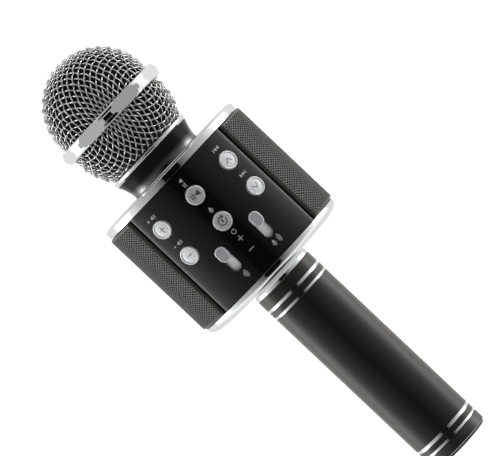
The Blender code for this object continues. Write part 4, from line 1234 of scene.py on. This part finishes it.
def chevron(size, width, up):
    flip = 1.0 if up else -1.0
    rise = size * 0.34
    points = [(-size / 2, -flip * rise), (0.0, flip * rise), (size / 2, -flip * rise)]
    return ribbon(points, width)


def moved(outline, x=0.0, y=0.0, scale=1.0):
    return [(px * scale + x, py * scale + y) for px, py in outline]


def triangle_right(size):
    return [(-size * 0.42, -size / 2), (size * 0.5, 0.0), (-size * 0.42, size / 2)]


def mirrored(outline):
    return [(-x, y) for x, y in outline][::-1]


def replay_arrow(radius, width):
    """An open circle that ends in an arrowhead."""
    first, last = 60.0, 370.0
    head = width * 1.7
    out = Vector((cos(radians(first)), sin(radians(first))))
    along = Vector((out.y, -out.x))
    tip, heel = out * radius, -along * 0.1 * head
    arrow = [tuple(tip + spot) for spot in (heel - out * head, heel + out * head, along * head * 1.3)]
    return [ribbon(arc_points(radius, first, last, 22), width), arrow]


# Outlines of the raised marks, in millimetres
BUTTON_MARKS = {
    "volume_up": [plus(3.0, 0.5)],
    "volume_down": [bar(-1.4, 0.0, 1.4, 0.0, 0.5)],
    "play": [
        mirrored(moved(triangle_right(2.9), -1.1)), bar(-0.75, -1.4, -0.75, 1.4, 0.6),
        bar(-1.85, -1.4, -1.85, 1.4, 0.6)],
    "replay": replay_arrow(1.9, 0.5) + [moved(stadium(0.95, 1.9, 8), 0.0, 0.1)],
    "previous": [chevron(3.0, 0.55, True)],
    "next": [chevron(3.0, 0.55, False)],
    "power": [ribbon(arc_points(1.45, 120.0, 420.0, 22), 0.42), bar(0.0, 0.3, 0.0, 2.0, 0.42)],
    "mode": [circle(0.5, 20, (x, 0.0)) for x in (-1.5, 0.0, 1.5)],
}
MARK_FOOT = 0.40 * MM
MARK_TOP = 0.88 * MM
MARK_BEVEL = 0.07 * MM
BUTTON_SIDES = 72


def make_buttons():
    for name in FRONT_BUTTONS + REAR_BUTTONS:
        azimuth, height = node_spot(f"{name}_button")
        button = lathe(f"{name}_button_cap", button_profile(), "button_chrome", BUTTON_SIDES, 40.0)
        place_facing(button, azimuth, height)
        finish_piece(button, f"{name}_button", "button_chrome", f"{name}_button")
        outlines = [moved(outline, scale=MM) for outline in BUTTON_MARKS[name]]
        mark = prisms(f"{name}_button_mark", outlines, MARK_FOOT, MARK_TOP, "button_mark")
        soften(mark, MARK_BEVEL, 2, 40.0)
        baked(mark)
        place_facing(mark, azimuth, height)
        smooth_again(mark, 35.0)
        finish_piece(mark, f"{name}_button", "button_chrome")


# ---------------------------------------------------------------- sliders

STEM = (4.3 * MM, 7.1 * MM)
KNOB = (5.4 * MM, 7.5 * MM)
KNOB_FOOT = 0.3 * MM  # the knob's clearance over the panel
KNOB_RISE = 2.0 * MM
KNOB_ROUNDING = 0.5 * MM
KNOB_STEPS = 6
STEM_LOW = -2.4 * MM
SLIDE_PLATE_HALF_WIDTH = 3.2 * MM
SLIDE_PLATE_DEPTHS = (-2.9 * MM, -2.1 * MM)
SLIDE_PLATE_BEVEL = 0.15 * MM
# Insets and depths in millimetres of the layers of the knob's sunk face, and of the pad in it
FACE_LAYERS = ((0.62, 0.0), (0.68, 0.03), (0.76, 0.20), (0.84, 0.34), (1.4, 0.35), (2.0, 0.35))
PAD_LAYERS = ((0.86, 0.33), (0.80, 0.27), (0.80, 0.19), (0.86, 0.14), (0.98, 0.12), (2.0, 0.12))


def knob_layer(inset, sink):
    """The knob's outline, smaller by an inset, at a depth below its top."""
    return stadium(KNOB[0] - 2 * inset, KNOB[1] - 2 * inset), KNOB_RISE - sink


def knob_layers():
    """A stem, and a rounded cap on it with a sunk face."""
    layers = [(stadium(*STEM), STEM_LOW), (stadium(*STEM), KNOB_FOOT), (stadium(*KNOB), KNOB_FOOT)]
    for n in range(KNOB_STEPS + 1):
        turn = pi / 2 * n / KNOB_STEPS
        layers.append(knob_layer(KNOB_ROUNDING * (1 - cos(turn)), KNOB_ROUNDING * (1 - sin(turn))))
    return layers + [knob_layer(inset * MM, sink * MM) for inset, sink in FACE_LAYERS]


def make_sliders():
    for name in SLIDERS:
        node = f"{name}_slider"
        azimuth, height = node_spot(node)
        # The shell's lighter colour gives the knob a painted highlight round its rim.
        knob = loft(f"{node}_knob", knob_layers(), "knob_shell_painted_highlight", 28.0)
        place_facing(knob, azimuth, height)
        finish_piece(knob, node, "slider_grey", node)
        layers = [knob_layer(inset * MM, sink * MM) for inset, sink in PAD_LAYERS]
        pad = loft(f"{node}_pad", layers, "slider_grey", 28.0)
        place_facing(pad, azimuth, height)
        finish_piece(pad, node, "slider_grey")
        across, up = SLIDE_PLATE_HALF_WIDTH, (high(node).z - low(node).z) / 2
        corners = [(-across, -up), (across, -up), (across, up), (-across, up)]
        # The plate's light colour is painted light, against the shade behind the slot.
        plate = prisms(f"{node}_plate", [corners], *SLIDE_PLATE_DEPTHS, "slider_plate")
        soften(plate, SLIDE_PLATE_BEVEL, 2)
        baked(plate)
        place_facing(plate, azimuth, height)
        smooth_again(plate)
        finish_piece(plate, node, "slider_grey")


# ---------------------------------------------------------------- printed marks

PRINT_SCALE = 1.22
PRINT_DEPTH = 0.06 * MM
PRINT_RISE = 0.035 * MM


def speaker_icon():
    horn = [(-1.0, -0.38), (-0.5, -0.38), (0.1, -0.9), (0.1, 0.9), (-0.5, 0.38), (-1.0, 0.38)]
    waves = [ribbon(arc_points(radius, -42.0, 42.0, 8, (-0.1, 0.0)), 0.22) for radius in (0.75, 1.2)]
    return [horn] + waves


def microphone_icon():
    cradle = ribbon(arc_points(0.78, 180.0, 360.0, 12, (0.0, 0.05)), 0.2)
    stand = [bar(0.0, -1.0, 0.0, -0.6, 0.2), bar(-0.5, -1.0, 0.5, -1.0, 0.2)]
    return [moved(stadium(0.85, 1.45, 8), 0.0, 0.3), cradle] + stand


def wave_icon():
    radii = (0.5, 1.05, 1.6, 2.15)
    return [ribbon(arc_points(radius, -48.0, 48.0, 10, (-1.1, 0.0)), 0.24) for radius in radii]


def skip_icon(flip):
    triangles = [moved(triangle_right(1.5), -0.75), moved(triangle_right(1.5), 0.65)]
    outlines = triangles + [bar(1.65, -0.75, 1.65, 0.75, 0.28)]
    return [mirrored(outline) for outline in outlines] if flip else outlines


def panel_marks():
    """Height above the floor and arc length across the panel, in millimetres, and outlines of each mark."""
    left, right, knob_row = -21.8, 21.8, 9.9
    minus = [bar(-0.62, 0.0, 0.62, 0.0, 0.3)]
    pause = [bar(0.0, -0.8, 0.0, 0.8, 0.34)]
    return (
        (168.8, left + 1.1, speaker_icon()), (168.8, left - 2.1, [plus(1.25, 0.3)]),
        (152.9, left + 1.1, speaker_icon()), (152.9, left - 2.1, minus),
        (171.0, 0.0, [mirrored(triangle_right(1.7))]), (168.4, -0.45, pause), (168.4, 0.45, pause),
        (152.9, 0.0, microphone_icon()), (139.2, 0.0, replay_arrow(0.82, 0.24)),
        (169.4, right, skip_icon(True)), (153.4, right, skip_icon(False)),
        (135.2, 0.0, [plus(2.3, 0.28)]), (128.6, 0.0, [bar(-1.15, 0.0, 1.15, 0.0, 0.28)]),
        (122.8, -knob_row, wave_icon()), (123.2, knob_row - 1.2, microphone_icon()),
        (123.2, knob_row + 1.5, wave_icon()[1:]))


def make_prints():
    verts, faces = [], []
    for height, across, outlines in panel_marks():
        scaled = [moved(outline, scale=PRINT_SCALE * MM) for outline in outlines]
        mark = prisms("mark", scaled, -PRINT_DEPTH, PRINT_RISE, None)
        place_facing(mark, across * MM / PANEL_RADIUS, height * MM)
        base = len(verts)
        verts += [tuple(vertex.co) for vertex in mark.data.vertices]
        faces += [[base + corner for corner in face.vertices] for face in mark.data.polygons]
        bpy.data.objects.remove(mark, do_unlink=True)
    prints = face_outwards(add_mesh("panel_marks", verts, faces, "print_white"))
    finish_piece(prints, "housing", "print_white")


# ---------------------------------------------------------------- carried-over nodes

def dress_frame():
    slots = {row["node"]: row["material_slot"] for row in frame["record"]["subparts"]}
    for name, node in frame["nodes"].items():
        material = MATERIALS[slots[name]]
        if len(node.material_slots) == 0:
            node.data.materials.append(material)
        for slot in node.material_slots:
            slot.material = material


# ---------------------------------------------------------------- whole scene

make_camera()
make_world()
make_top_box()
make_floor()
dress_frame()
make_handle()
make_end_cap()
make_collar()
make_plates()
make_front_panel()
make_rear_panel()
make_grille("right", pi / 2)
make_grille("left", -pi / 2)
make_neck()
make_octagon_ring()
make_ball()
make_foam()
make_buttons()
make_sliders()
make_prints()

bpy.context.scene.view_settings.view_transform = "Standard"
